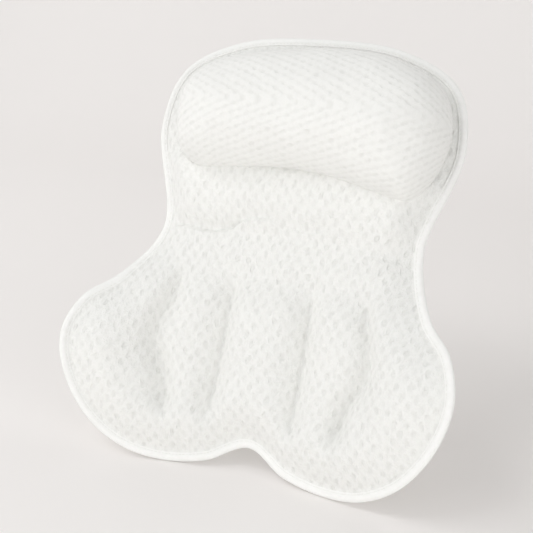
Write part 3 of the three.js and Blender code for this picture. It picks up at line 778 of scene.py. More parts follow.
@dataclass(frozen=True)
class AirMesh(Finish):
    """Knitted polyester spacer mesh: matt and soft, with staggered oval dimples or slanting ribs.

    The yarn is about 0.1 mm thick, too fine to show, so its strands are drawn 0.8 mm wide. Pitches and
    sizes are in millimetres, and dots and ribs say how strongly each pattern counts.
    """

    across: float = 12.0
    up: float = 15.8
    dots: float = 1.0
    ribs: tuple[float, float] = (0.3, 0.0)
    jitter: float = 2.5
    wander: float = 8.33333
    patch: float = 10.52632
    chevron: float = 0.0
    fold_round: float = 2.0
    relief: float = 0.7
    fuzz: float = 1.0
    strand: tuple[float, float] = (4.4, 8.0)
    fibre: float = 1.6
    pit_shade: float = 0.55
    face: str = "#F2F2EF"
    hollow: str = "#E3E3DF"

    def build(self) -> Material:
        """Builds the material."""
        material, tree, shader = self.start()
        place = add_node(tree, "ShaderNodeUVMap", {"uv_map": "cloth"}).outputs["UV"]
        if self.chevron:
            place = self._folded(tree, place)
        dimples = self._dimples(tree, self._wandered(tree, place))
        pit = add_node(tree, "ShaderNodeMapRange", {"interpolation_type": "SMOOTHSTEP"}, Value=dimples,
                       From_Min=-0.3, From_Max=1.15)
        # some dimples are deeper than others, where the knit is stretched
        depth = add_node(tree, "ShaderNodeMapRange", Value=noise(tree, place, self.patch, 2.0),
                         From_Min=0.3, From_Max=0.65, To_Min=0.3, To_Max=1.0)
        hole = calc(tree, "MULTIPLY", pit.outputs[0], depth.outputs[0])
        raised, gaps = self._strands(tree, place)
        height = calc(tree, "MULTIPLY_ADD", hole, -1.0, raised)
        # dimples and gaps are a little darker than the strands, as less light reaches them
        shade = calc(tree, "MULTIPLY_ADD", hole, self.pit_shade, gaps)
        feed(tree, shader, Base_Color=ramp_node(tree, shade, [(0.0, self.face), (1.0, self.hollow)]),
             Normal=bump_node(tree, height, 1.0, self.relief), Roughness=0.92, IOR=1.5,
             Specular_IOR_Level=0.25, Sheen_Weight=0.2, Sheen_Roughness=0.6)
        return material

    def _wandered(self, tree: NodeTree, place: NodeSocket) -> NodeSocket:
        """Place with a little wander, so that the rows of dimples are not ruled."""
        swirl = add_node(tree, "ShaderNodeTexNoise", Vector=place, Scale=1 / (self.wander * MM), Detail=1.0)
        centred = add_node(tree, "ShaderNodeVectorMath", {"operation": "SUBTRACT"},
                           in0=swirl.outputs["Color"], in1=(0.5, 0.5, 0.5))
        shift = add_node(tree, "ShaderNodeVectorMath", {"operation": "SCALE"}, in0=centred.outputs[0],
                         Scale=2.0 * self.jitter * MM)
        moved = add_node(tree, "ShaderNodeVectorMath", {"operation": "ADD"}, in0=place, in1=shift.outputs[0])
        return moved.outputs[0]

    def _folded(self, tree: NodeTree, place: NodeSocket) -> NodeSocket:
        """Place folded along the middle line and slanted, so that the rows of knit meet in points."""
        axes = add_node(tree, "ShaderNodeSeparateXYZ", Vector=place).outputs
        square = calc(tree, "MULTIPLY_ADD", axes["Y"], axes["Y"], (self.fold_round * MM) ** 2)
        folded = add_node(tree, "ShaderNodeCombineXYZ", X=axes["X"], Y=calc(tree, "SQRT", square))
        slant = (0.0, 0.0, math.radians(self.chevron))
        return add_node(tree, "ShaderNodeMapping", Vector=folded.outputs[0], Rotation=slant).outputs[0]

    def _wave(self, tree: NodeTree, along: NodeSocket, pitch: float) -> NodeSocket:
        """Cosine wave of a pitch in millimetres along one way of the cloth."""
        return calc(tree, "COSINE", calc(tree, "MULTIPLY", along, 2 * math.pi / (pitch * MM)))

    def _dimples(self, tree: NodeTree, place: NodeSocket) -> NodeSocket:
        """Staggered waves, highest in the middle of each dimple, with ribs between columns or rows."""
        axes = add_node(tree, "ShaderNodeSeparateXYZ", Vector=place).outputs
        x, y = axes["X"], axes["Y"]
        total = calc(tree, "MULTIPLY", self._wave(tree, x, self.across), self._wave(tree, y, self.up))
        total = calc(tree, "MULTIPLY", total, self.dots)
        for share, along, pitch in zip(self.ribs, (x, y), (self.across / 2, self.up / 2)):
            total = calc(tree, "MULTIPLY_ADD", self._wave(tree, along, pitch), share, total)
        return total

    def _strands(self, tree: NodeTree, place: NodeSocket) -> tuple[NodeSocket, NodeSocket]:
        """Raised strands of the knit, long and thin up the cloth: their height, and the shade of the gaps."""
        wide, tall = self.strand
        drawn = add_node(tree, "ShaderNodeMapping", Vector=place,
                         Scale=(1 / (wide * MM), 1 / (tall * MM), 0.0))
        swirl = add_node(tree, "ShaderNodeTexNoise", Vector=drawn.outputs[0], Scale=1.0, Detail=2.5,
                         Roughness=0.62)
        off = calc(tree, "ABSOLUTE", calc(tree, "SUBTRACT", swirl.outputs["Fac"], 0.5))
        crests = calc(tree, "MULTIPLY", off, -2.4 * self.fuzz)
        gaps = calc(tree, "MULTIPLY", off, 2.0 * self.fuzz)
        return calc(tree, "MULTIPLY_ADD", noise(tree, place, self.fibre, 1.5), self.fuzz, crests), gaps


@dataclass(frozen=True)
class WovenTape(Finish):
    """Woven polyester tape: a close plain weave, smooth and slightly shiny.

    Its threads lie 0.35 mm apart, too fine to show, so they are drawn 0.9 mm apart.
    """

    colour: str = "#F9F9F7"
    shade: str = "#F4F4F1"
    thread: float = 0.9
    patch: float = 6.25
    roughness: float = 0.62
    relief: float = 0.08
    lean: Optional[float] = None

    def build(self) -> Material:
        """Builds the material."""
        material, tree, shader = self.start()
        place = self._place(tree)
        turns = 2 * math.pi / (self.thread * MM)
        axes = add_node(tree, "ShaderNodeSeparateXYZ", Vector=place).outputs
        waves = [calc(tree, "SINE", calc(tree, "MULTIPLY", axes[name], turns)) for name in ("X", "Y")]
        uneven = noise(tree, place, self.patch, 2.0)
        height = calc(tree, "ADD", calc(tree, "MULTIPLY", *waves), uneven)
        feed(tree, shader, Base_Color=ramp_node(tree, uneven, [(0.2, self.shade), (0.8, self.colour)]),
             Normal=bump_node(tree, height, 0.5, self.relief), Roughness=self.roughness, IOR=1.54,
             Specular_IOR_Level=0.35, Sheen_Weight=0.15)
        return material

    def _place(self, tree: NodeTree) -> NodeSocket:
        """Place on the tape: its own cloth map, or for a flat strip the leaning plane that it lies in."""
        if self.lean is None:
            return add_node(tree, "ShaderNodeUVMap", {"uv_map": "cloth"}).outputs["UV"]
        spot = add_node(tree, "ShaderNodeTexCoord").outputs["Object"]
        upright = (math.radians(self.lean - 90.0), 0.0, 0.0)
        return add_node(tree, "ShaderNodeMapping", Vector=spot, Rotation=upright).outputs[0]


@dataclass(frozen=True)
class Thread(Finish):
    """Spun polyester sewing thread with a slight lustre and a ply twist too fine to model."""

    colour: str = "#F2F2EE"
    shade: str = "#E6E6E1"
    fibre: float = 0.555556

    def build(self) -> Material:
        """Builds the material."""
        material, tree, shader = self.start()
        fibre = noise(tree, add_node(tree, "ShaderNodeTexCoord").outputs["Object"], self.fibre, 1.0)
        feed(tree, shader, Base_Color=ramp_node(tree, fibre, [(0.3, self.shade), (0.7, self.colour)]),
             Normal=bump_node(tree, fibre, 0.3, 0.1), Roughness=0.55, IOR=1.54)
        return material


@dataclass(frozen=True)
class ClearVinyl(Finish):
    """Soft clear PVC, moulded glossy: lets light through, with a faint cool tint and fine flow marks."""

    colour: str = "#EEF4F5"
    flow: float = 11.11111

    def build(self) -> Material:
        """Builds the material."""
        material, tree, shader = self.start()
        flow = noise(tree, add_node(tree, "ShaderNodeTexCoord").outputs["Object"], self.flow, 2.0)
        haze = add_node(tree, "ShaderNodeMapRange", Value=flow, To_Min=0.08, To_Max=0.22)
        feed(tree, shader, Base_Color=linear(self.colour), Roughness=haze.outputs[0],
             Normal=bump_node(tree, flow, 0.08, 0.3), IOR=1.53, Transmission_Weight=0.85)
        return material


@dataclass(frozen=True)
class StudioCard(Finish):
    """Matt studio paper for the floor and backdrop."""

    colour: str = "#F5F2F0"

    def build(self) -> Material:
        """Builds the material."""
        material, tree, shader = self.start()
        feed(tree, shader, Base_Color=linear(self.colour), Roughness=0.95, Specular_IOR_Level=0.1)
        return material


@dataclass(frozen=True)
class Finishes:
    """The finishes of the pillow."""

    cover: Material
    roll: Material
    lining: Material
    tape: Material
    webbing: Material
    thread: Material
    vinyl: Material
    card: Material

    @staticmethod
    def make() -> "Finishes":
        """Builds every finish."""
        return Finishes(
            cover=AirMesh("spacer_mesh_body").build(),
            roll=AirMesh("spacer_mesh_roll", across=9.2, up=14.0, dots=0.4, ribs=(0.0, 0.7), jitter=1.2,
                         chevron=24.0, relief=0.5, fuzz=0.6).build(),
            lining=AirMesh("fine_mesh_lining", across=3.4, up=3.4, ribs=(0.0, 0.0), jitter=0.3, relief=0.3,
                           face="#E9E9E5", hollow="#CCCDC7").build(),
            tape=WovenTape("woven_edge_tape").build(),
            webbing=WovenTape("woven_webbing", thread=1.6, roughness=0.75, relief=0.3,
                              lean=Lean().degrees).build(),
            thread=Thread("sewing_thread").build(),
            vinyl=ClearVinyl("clear_vinyl").build(),
            card=StudioCard("studio_card").build(),
        )


# Pad pieces


@dataclass
class Wrinkle:
    """A soft crease in the cover along a line: the cloth sinks above it and puffs up below it."""

    line: Sequence[tuple[float, float]]
    lip: float
    band: float
    lip_reach: float = 12.0
    band_reach: float = 9.0
    turn: tuple[float, float] = (-2.4, 2.6)
    fade_in: tuple[float, float] = (-4.0, 10.0)
    fade_out: tuple[float, float] = (-14.0, 4.0)
    steps: int = 60

    def height(self, x: np.ndarray, z: np.ndarray) -> np.ndarray:
        """Height that the crease adds to the cover, in millimetres."""
        at = np.linspace(0, len(self.line) - 1, self.steps + 1)
        points = catmull(np.array(self.line, float), at, False)
        away = line_distance(points, np.stack([x, z], -1))
        order = np.argsort(points[:, 0])
        level = np.interp(x, points[order, 0], points[order, 1])
        first, last = points[:, 0].min(), points[:, 0].max()
        fade = smooth(x, *(first + reach for reach in self.fade_in))
        fade = fade * (1 - smooth(x, *(last + reach for reach in self.fade_out)))
        below = smooth(level - z, *self.turn)
        lip = self.lip * below * np.exp(-((away / self.lip_reach) ** 1.6))
        hollow = -self.band * (1 - below) * np.exp(-((away / self.band_reach) ** 1.7))
        return fade * (lip + hollow)


@dataclass
class Cushion:
    """The stuffed pad: front cover over the yoke, the five channels and the head part.

    Pairs of numbers are the heights on the pad between which something starts or ends, and unevenness
    holds the height, size and seed of each soft swell of the cloth.
    """

    pad: Pad
    finishes: Finishes
    channel_crown: float = 35.0
    yoke_crown: float = 25.0
    head_crown: float = 30.0
    plateau: float = 15.0
    channel_rise: tuple[float, float] = (40.0, 75.0)
    roll_foot: tuple[float, float] = (57.0, 78.0)
    neck_rise: tuple[float, float] = (-12.0, 14.0)
    valley_start: tuple[float, float] = (34.0, 66.0)
    valley_end: tuple[float, float] = (168.0, 204.0)
    valley_run: float = 25.0
    valley_shares: tuple[float, float] = (0.58, 0.5)
    valley_soft_share: float = 0.15
    edge_runs: tuple[float, float] = (38.0, 31.0)
    edge_change: tuple[float, float] = (-20.0, 20.0)
    edge_start: float = 1.5
    neck_share: float = 0.3
    neck_width: float = 16.0
    neck_hold_share: float = 0.35
    neck_hold_width: float = 8.0
    head_hold: tuple[float, float] = (40.0, 66.0)
    slack: float = 3.0
    pressure: float = 4.0
    swell_cap: float = 9.0
    fineness: int = 3
    unevenness: Sequence[tuple[float, float, int]] = ((0.35, 34.0, 3), (0.14, 11.0, 5))
    wrinkles: Sequence[Wrinkle] = (
        Wrinkle([(-124, -4), (-107, -3), (-77, -5), (-55, -1), (-41, 8), (-15, 13), (2, 9)], 2.0, 4.6),
        Wrinkle([(-4, 5), (6, 6), (23, 5), (38, 7), (52, 11)], 1.2, 2.4),
        Wrinkle([(80, -9), (92, -12), (108, -13), (122, -12)], 0.6, 0.7),
    )

    def crown(self, z: np.ndarray) -> np.ndarray:
        """Full height of the stuffing at a height on the pad."""
        low = mix(self.yoke_crown, self.channel_crown, smooth(-z, *self.channel_rise))
        high = mix(self.head_crown, self.plateau, smooth(z, *self.roll_foot))
        return mix(low, high, smooth(z, *self.neck_rise))

    def fade(self, z: np.ndarray) -> np.ndarray:
        """How fully a valley is drawn down at a height on the pad."""
        return smooth(-z, *self.valley_start) * (1 - smooth(-z, *self.valley_end))

    def height(self, x: np.ndarray, z: np.ndarray) -> np.ndarray:
        """Height of the front over the rear face before the stuffing swells, in millimetres."""
        pad = self.pad
        run = mix(*self.edge_runs, smooth(z, *self.edge_change))
        edge = swell(pad.edge_distance(x, z) - pad.margin + self.edge_start, run)
        places = np.stack([np.abs(x), z], -1)
        valley = np.ones(np.shape(x))
        for line, share in zip((pad.inner_valley, pad.outer_valley), self.valley_shares):
            near = 1 - swell(line_distance(line, places), self.valley_run)
            valley *= 1 - share * self.fade(z) * near
        neck = 1 - self.neck_share * np.exp(-((z / self.neck_width) ** 2))
        crown = self.crown(z) - self.slack
        return pad.pressed_seam + (crown - pad.pressed_seam) * edge * valley * neck

    def build(self, grid: PlanGrid) -> Object:
        """Builds the stuffed front and dresses it.

        Args:
            grid: Plan grid over the whole pad.

        Returns:
            The finished piece.
        """
        pad = self.pad
        x, z = grid.plan[..., 0], grid.plan[..., 1]
        front = pad.stand(x, z, self.height(x, z))
        back = pad.stand(x, z, np.full(x.shape, pad.cover + pad.layer_gap / 2))
        front = self._swollen(grid, front, back)
        for column in grid.valley_columns:
            beside = (front[column - 1] + front[column + 1]) / 2
            share = self.valley_soft_share * self.fade(z[column])[:, None]
            front[column] = mix(front[column], beside, share)
        cloth = flatten(front, grid.plan) * MM
        front, back, plan, cloth = (refine(part, self.fineness) for part in (front, back, grid.plan, cloth))
        front = front + self._details(plan, front)
        shell = slab(pad.lean.place(front), pad.lean.place(back), cloth)
        piece = shell.build("padded_front_cover", self.finishes.cover)
        channels = ("left_wing", "left_inner", "centre", "right_inner", "right_wing")
        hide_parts("front_cover_shoulders", "front_cover_head", "yoke_pad", "head_pad",
                    *(f"channel_pad_{name}" for name in channels))
        return piece

    def _swollen(self, grid: PlanGrid, front: np.ndarray, back: np.ndarray) -> np.ndarray:
        """Front after the stuffing has swelled between the seams."""
        pad = self.pad
        x, z = grid.plan[..., 0], grid.plan[..., 1]
        held = np.zeros(x.shape)
        held[[0, 1, -2, -1], :] = 1.0
        held[:, [0, 1, -2, -1]] = 1.0
        for column in grid.valley_columns:
            held[column] = np.maximum(held[column], self.fade(z[column]))
        held = np.maximum(held, self.neck_hold_share * np.exp(-((z / self.neck_hold_width) ** 2)))
        held = np.maximum(held, smooth(z, *self.head_hold))
        pinned = np.concatenate([held.ravel(), np.ones(held.size)])
        shell = slab(pad.lean.place(front), pad.lean.place(back))
        swollen = inflate(shell, pinned, self.pressure, self.swell_cap * MM)
        moved = (swollen[: x.size] - shell.points[: x.size]).reshape(front.shape) / MM
        c, s = math.cos(math.radians(pad.lean.degrees)), math.sin(math.radians(pad.lean.degrees))
        mx, my, mz = np.moveaxis(moved, -1, 0)
        return front + np.stack([mx, my * c - mz * s, my * s + mz * c], -1)

    def _details(self, plan: np.ndarray, front: np.ndarray) -> np.ndarray:
        """Creases at the neck and the cloth's soft unevenness, both fading at the tape."""
        pad = self.pad
        x, z = plan[..., 0], plan[..., 1]
        seam_reach = 12
        inside = smooth(pad.edge_distance(x, z), pad.margin, pad.margin + seam_reach)
        height = sum(wrinkle.height(x, z) for wrinkle in self.wrinkles) * inside
        for tall, size, seed in self.unevenness:
            height += tall * ripple(x, z, size, seed) * inside
        return pad.normal(x, z) * height[..., None]


@dataclass
class BackCover:
    """Fine mesh over the rear face, a little uneven but flat under the cups' tabs."""

    pad: Pad
    finishes: Finishes
    seam_reach: float = 14.0
    tab_clear: tuple[float, float] = (15.0, 26.0)
    sag: float = 0.22
    swell_size: float = 40.0

    def build(self, grid: PlanGrid) -> Object:
        """Builds the back cover."""
        pad = self.pad
        plan = refine(grid.plan, 2)
        x, z = plan[..., 0], plan[..., 1]
        inside = smooth(pad.edge_distance(x, z), pad.margin, pad.margin + self.seam_reach)
        across, up = self.tab_clear
        under_tabs = sum(np.exp(-(((z - row.value) / up) ** 4)) for row in CupRow)
        flat = 1 - under_tabs * np.exp(-(((np.abs(x) - pad.cup_across) / across) ** 4))
        sag = self.sag * (1 + ripple(x, z, self.swell_size, 11)) * inside * flat
        front = pad.stand(x, z, np.full(x.shape, pad.cover))
        back = pad.stand(x, z, np.clip(sag, 0.0, 0.8))
        cloth = pad.rear_cloth(x, z)
        shell = slab(pad.lean.place(front), pad.lean.place(back), cloth)
        piece = shell.build("mesh_back_cover", self.finishes.lining)
        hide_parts("back_cover_shoulders", "back_cover_head")
        return piece


@dataclass
class EdgeTape:
    """Folded tape sewn round the whole edge, with a row of lockstitch along each leg."""

    pad: Pad
    finishes: Finishes
    steps: int = 1400
    width: float = 8.4
    stitch_inset: float = 6.1
    stitch_pitch: float = 3.8
    pucker: float = 0.12
    pucker_pitch: float = 9.3
    needle: float = 0.16
    groove_shares: tuple[float, float] = (0.42, 0.62)

    def section(self) -> np.ndarray:
        """Inset and height of the tape's section: the front leg, the round fold, the back leg and inside."""
        pad = self.pad
        front, back = pad.pressed_seam + pad.tape_gap, -pad.tape_gap
        wide, thick, row = self.width, pad.tape, self.stitch_inset
        middle, radius = (front + back) / 2, (front - back) / 2
        front_leg = [
            (wide + 0.2, front - 0.3), (wide - 0.2, front + thick * 0.5), (wide - 0.8, front + thick * 0.95),
            (row + 0.9, front + thick * 0.9), (row, front + thick * 0.4), (row - 0.9, front + thick * 0.95),
            (4.4, front + thick), (3.6, front + thick * 0.85), (2.7, front + thick * 0.6),
        ]
        fold = [
            (1.7, front + thick * 0.1), (0.75, middle + radius * 0.66), (0.2, middle + radius * 0.35),
            (0.0, middle), (0.2, middle - radius * 0.35), (0.75, middle - radius * 0.66),
            (1.7, back - thick * 0.1),
        ]
        back_leg = [
            (3.0, back - thick * 0.7), (4.4, back - thick * 0.95), (5.2, back - thick),
            (row - 0.7, back - thick * 0.92), (row, back - thick * 0.62), (row + 0.6, back - thick * 0.9),
            (wide - 0.8, back - thick * 0.95), (wide - 0.2, back - thick * 0.5), (wide + 0.2, back + 0.3),
        ]
        inside = [
            (wide - 0.3, back + 0.32), (5.0, back), (2.4, back + 0.3), (1.3, middle - radius * 0.4),
            (1.1, middle), (1.3, middle + radius * 0.4), (2.4, front - 0.3), (5.0, front),
            (wide - 0.3, front - 0.32),
        ]
        return np.array(front_leg + fold + back_leg + inside)

    def length(self) -> float:
        """Length of the outline in millimetres."""
        ring = self.pad.ring
        return float(np.linalg.norm(np.diff(ring, axis=0), axis=1).sum())

    def rows(self) -> list:
        """The stitch rows of both legs, as points, runs and outward ways of the pad's frame."""
        pad = self.pad
        count = round(self.length() / self.stitch_pitch)
        at = pad.stations(0.0, float(len(pad.points)), (np.arange(count) + 0.5) / count)
        plan = pad.inset(at, np.full(count, self.stitch_inset))
        x, z = plan[:, 0], plan[:, 1]
        rows = []
        front_share, back_share = self.groove_shares
        top = pad.pressed_seam + pad.tape_gap + pad.tape * front_share
        for height, way in ((top, 1.0), (-pad.tape_gap - pad.tape * back_share, -1.0)):
            spots = pad.stand(x, z, np.full(count, height))
            run = np.roll(spots, -1, axis=0) - np.roll(spots, 1, axis=0)
            rows.append((spots, run, pad.normal(x, z) * way))
        return rows

    def build(self) -> Object:
        """Builds the tape."""
        pad = self.pad
        count = len(pad.points)
        at = pad.stations(0.0, float(count), np.linspace(0, 1, self.steps + 1))[:-1]
        section = self.section()
        inset, height = section[:, 0], section[:, 1]
        run = np.arange(self.steps) / self.steps * self.length()
        pucker = self.pucker * np.sin(run * 2 * math.pi / self.pucker_pitch)[:, None] * (inset > 4.0)
        needle = self.needle * np.cos(run * 2 * math.pi / self.stitch_pitch)[:, None]
        pucker = pucker - needle * (np.abs(inset - self.stitch_inset) < 0.3)
        rings = np.stack([pad.inset(at, np.full(len(at), value)) for value in inset], 1)
        lift = np.where(height > pad.pressed_seam / 2, 1.0, -1.0) * pucker
        points = pad.stand(rings[..., 0], rings[..., 1], height[None, :] + lift)
        cloth = np.stack(np.broadcast_arrays(run[:, None], run_length(section)[None, :]), -1) * MM
        piece = sweep(pad.lean.place(points), True, cloth).build("edge_tape", self.finishes.tape)
        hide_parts("edge_binding_shoulders", "edge_binding_head")
        return piece


@dataclass
class HeadRoll:
    """Stuffed roll across the head, round from its widest contour to its middle line.

    Unevenness holds the height, size and seed of each soft swell of the cloth.
    """

    pad: Pad
    finishes: Finishes
    front_height: float = 75.0
    rim_height: float = 15.4
    tuck: float = 4.0
    middle_height: float = 115.0
    middle_bow: float = 3.0
    spine_ends: tuple[float, float] = (-66.0, 88.0)
    spine_cells: int = 80
    fan_cells: int = 64
    rings: int = 44
    contour_steps: int = 2400
    foot_share: float = 0.12
    soft_heights: tuple[float, float] = (20.0, 40.0)
    unevenness: Sequence[tuple[float, float, int]] = ((0.9, 60.0, 21), (0.25, 17.0, 23))
    contour: Sequence[tuple[float, float]] = (
        (-127, 108), (-123, 85), (-115, 66), (-95, 56), (-60, 59), (-4, 63), (47, 58), (84, 49),
        (116, 45), (133, 63), (142, 83), (146, 106), (142, 133), (130, 154), (109, 167), (74, 179),
        (25, 182), (-25, 178), (-75, 169), (-101, 159), (-122, 138),
    )

    def _fan(self, ring: np.ndarray, start: np.ndarray, stop: np.ndarray) -> np.ndarray:
        """Even steps along the contour the short way from one place to another, ends left out."""
        first = np.argmin(np.linalg.norm(ring - start, axis=1))
        last = np.argmin(np.linalg.norm(ring - stop, axis=1))
        run = (last - first) % len(ring)
        back = (first - last) % len(ring)
        step = run if run < back else -back
        at = (first + np.arange(abs(step) + 1) * np.sign(step)) % len(ring)
        return even_points(ring[at], self.fan_cells)[1:-1]

    def stations(self) -> tuple[np.ndarray, np.ndarray]:
        """Pairs of a point on the middle line and one on the widest contour, all the way round."""
        corners = np.array(self.contour, float)
        ring = catmull(corners, np.linspace(0, len(corners), self.contour_steps + 1)[:-1], True)
        left, right = self.spine_ends
        spine_x = np.linspace(left, right, self.spine_cells + 1)
        off = (spine_x - (left + right) / 2) / (right - left) * 2
        spine = np.stack([spine_x, self.middle_height - self.middle_bow * off**2], -1)
        sides = []
        for part in (ring[ring[:, 1] > self.middle_height], ring[ring[:, 1] < self.middle_height]):
            part = part[np.argsort(part[:, 0])]
            sides.append(np.stack([spine_x, np.interp(spine_x, part[:, 0], part[:, 1])], -1))
        top, bottom = sides
        right_fan = self._fan(ring, top[-1], bottom[-1])
        left_fan = self._fan(ring, bottom[0], top[0])
        wide = np.concatenate([top, right_fan, bottom[::-1], left_fan])
        right_end = np.repeat(spine[-1:], len(right_fan), 0)
        left_end = np.repeat(spine[:1], len(left_fan), 0)
        return np.concatenate([spine, right_end, spine[::-1], left_end]), wide

    def skin(self) -> tuple[np.ndarray, np.ndarray]:
        """Points of the roll's cover from its rim to the middle line, and their cloth places."""
        middle, wide = self.stations()
        tuck = math.radians(self.tuck)
        radius = (self.front_height - self.rim_height) / (1 + math.sin(tuck))
        centre = self.rim_height + radius * math.sin(tuck)
        angle = np.linspace(-tuck, math.pi / 2, self.rings)
        plan = mix(middle[:, None], wide[:, None], np.cos(angle)[None, :, None])
        x, z = plan[..., 0], plan[..., 1]
        height = np.broadcast_to((centre + radius * np.sin(angle))[None, :], x.shape)
        soft = smooth(height, *self.soft_heights)
        height = height + soft * sum(tall * ripple(x, z, size, seed) for tall, size, seed in self.unevenness)
        way = wide - middle
        far = np.linalg.norm(way, axis=-1, keepdims=True)
        arc = (math.pi / 2 - angle)[None, :, None] * (0.5 * radius + 0.5 * far[:, None])
        cloth = (middle[:, None] - [0.0, self.middle_height] + way[:, None] / far[:, None] * arc) * MM
        return self.pad.stand(x, z, height), cloth

    def build(self) -> Object:
        """Builds the roll."""
        skin, cloth = self.skin()
        base = skin[:, 0]
        foot = mix(base, base.mean(axis=0), self.foot_share)
        rings = np.concatenate([foot[:, None], skin], axis=1)
        cloth = np.concatenate([cloth[:, :1], cloth], axis=1)
        number = numbered(*rings.shape[:2])
        faces = quads(np.concatenate([number, number[:1]])).tolist()
        faces.append(number[:, 0][::-1].tolist())
        points = self.pad.lean.place(rings.reshape(-1, 3))
        piece = Shell(points, faces, cloth.reshape(-1, 2)).build("head_roll", self.finishes.roll)
        # the rings of the middle line lie on each other and become one
        work = bmesh.new()
        work.from_mesh(piece.data)
        bmesh.ops.remove_doubles(work, verts=work.verts, dist=0.02 * MM)
        bmesh.ops.recalc_face_normals(work, faces=work.faces)
        work.to_mesh(piece.data)
        work.free()
        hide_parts("head_roll_cover", "head_roll_fill")
        return piece


# Back fittings and threads


@dataclass
class SuctionCup:
    """Moulded suction cup: a knob that sits in its tab's buttonhole, a flared bell and a pull tab."""

    pad: Pad
    finishes: Finishes
    row: CupRow
    side: Side
    rim: float = 27.5
    lip: float = 2.5
    turns: int = 64

    @property
    def label(self) -> str:
        """The cup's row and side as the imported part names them."""
        return f"{self.row.name.lower()}_{self.side.name.lower()}"

    def profile(self) -> np.ndarray:
        """Radius and depth of the section, from the knob's face round the rim to the hollow's middle."""
        reach, rim, lip = self.pad.lean.cup_reach, self.rim, self.lip
        knob = [(3.4, 0.3), (5.2, 0.36), (6.1, 0.75), (6.5, 1.4), (6.5, 2.4), (6.1, 2.95), (5.2, 3.35),
                (4.6, 3.7), (4.32, 4.3), (4.3, 5.2)]
        bell = [(4.3, 5.8), (8.24, 6.99), (12.65, 9.1), (19.61, 12.93), (25.18, 17.15), (rim, reach - 0.5)]
        edge = [(rim - 0.2, reach - 0.08), (rim - 0.7, reach), (rim - lip + 0.5, reach)]
        hollow = [(rim - lip, reach - 0.2), (23.25, 16.42), (19.0, 13.5), (11.25, 11.0), (1.5, 10.44)]
        bell = catmull(np.array(bell), np.linspace(0, len(bell) - 1, 31), False)
        hollow = catmull(np.array(hollow), np.linspace(0, len(hollow) - 1, 25), False)
        return np.concatenate([knob, bell, edge, hollow])

    def bell(self) -> Shell:
        """The turned body of the cup."""
        profile = self.profile()
        angle = np.arange(self.turns) / self.turns * 2 * math.pi
        radius, depth = profile[:, :1], profile[:, 1:]
        rings = np.stack(np.broadcast_arrays(radius * np.cos(angle), depth, radius * np.sin(angle)), -1)
        return sweep(rings, False)

    def tongue(self) -> Shell:
        """The pull tab: a rounded tongue on the rim, with softened edges."""
        half, root, tip = 4.5, self.rim - 3.2, self.rim + 7.0
        bend = np.linspace(0, math.pi, 17)
        layers = ((0.35, 16.2), (0.08, 16.32), (0.0, 16.6), (0.0, 17.2), (0.08, 17.48), (0.35, 17.6))
        rings = []
        for inset, depth in layers:
            wide = half - inset
            arc = [(wide * math.cos(t), depth, tip - half + wide * math.sin(t)) for t in bend]
            rings.append([(wide, depth, root), *arc, (-wide, depth, root)])
        return sweep(np.array(rings), False)

    def build(self) -> Object:
        """Builds the cup as one piece at its place behind the pad."""
        bell, tongue = self.bell(), self.tongue()
        shift = len(bell.points)
        points = np.concatenate([bell.points, tongue.points])
        points = points + [self.side.value * self.pad.cup_across, 0.0, self.row.value]
        faces = bell.faces + [[n + shift for n in face] for face in tongue.faces]
        piece = Shell(self.pad.lean.place(points), faces).build(f"cup_{self.label}", self.finishes.vinyl)
        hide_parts(f"suction_cup_{self.label}")
        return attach(piece, f"cup_{self.label}")


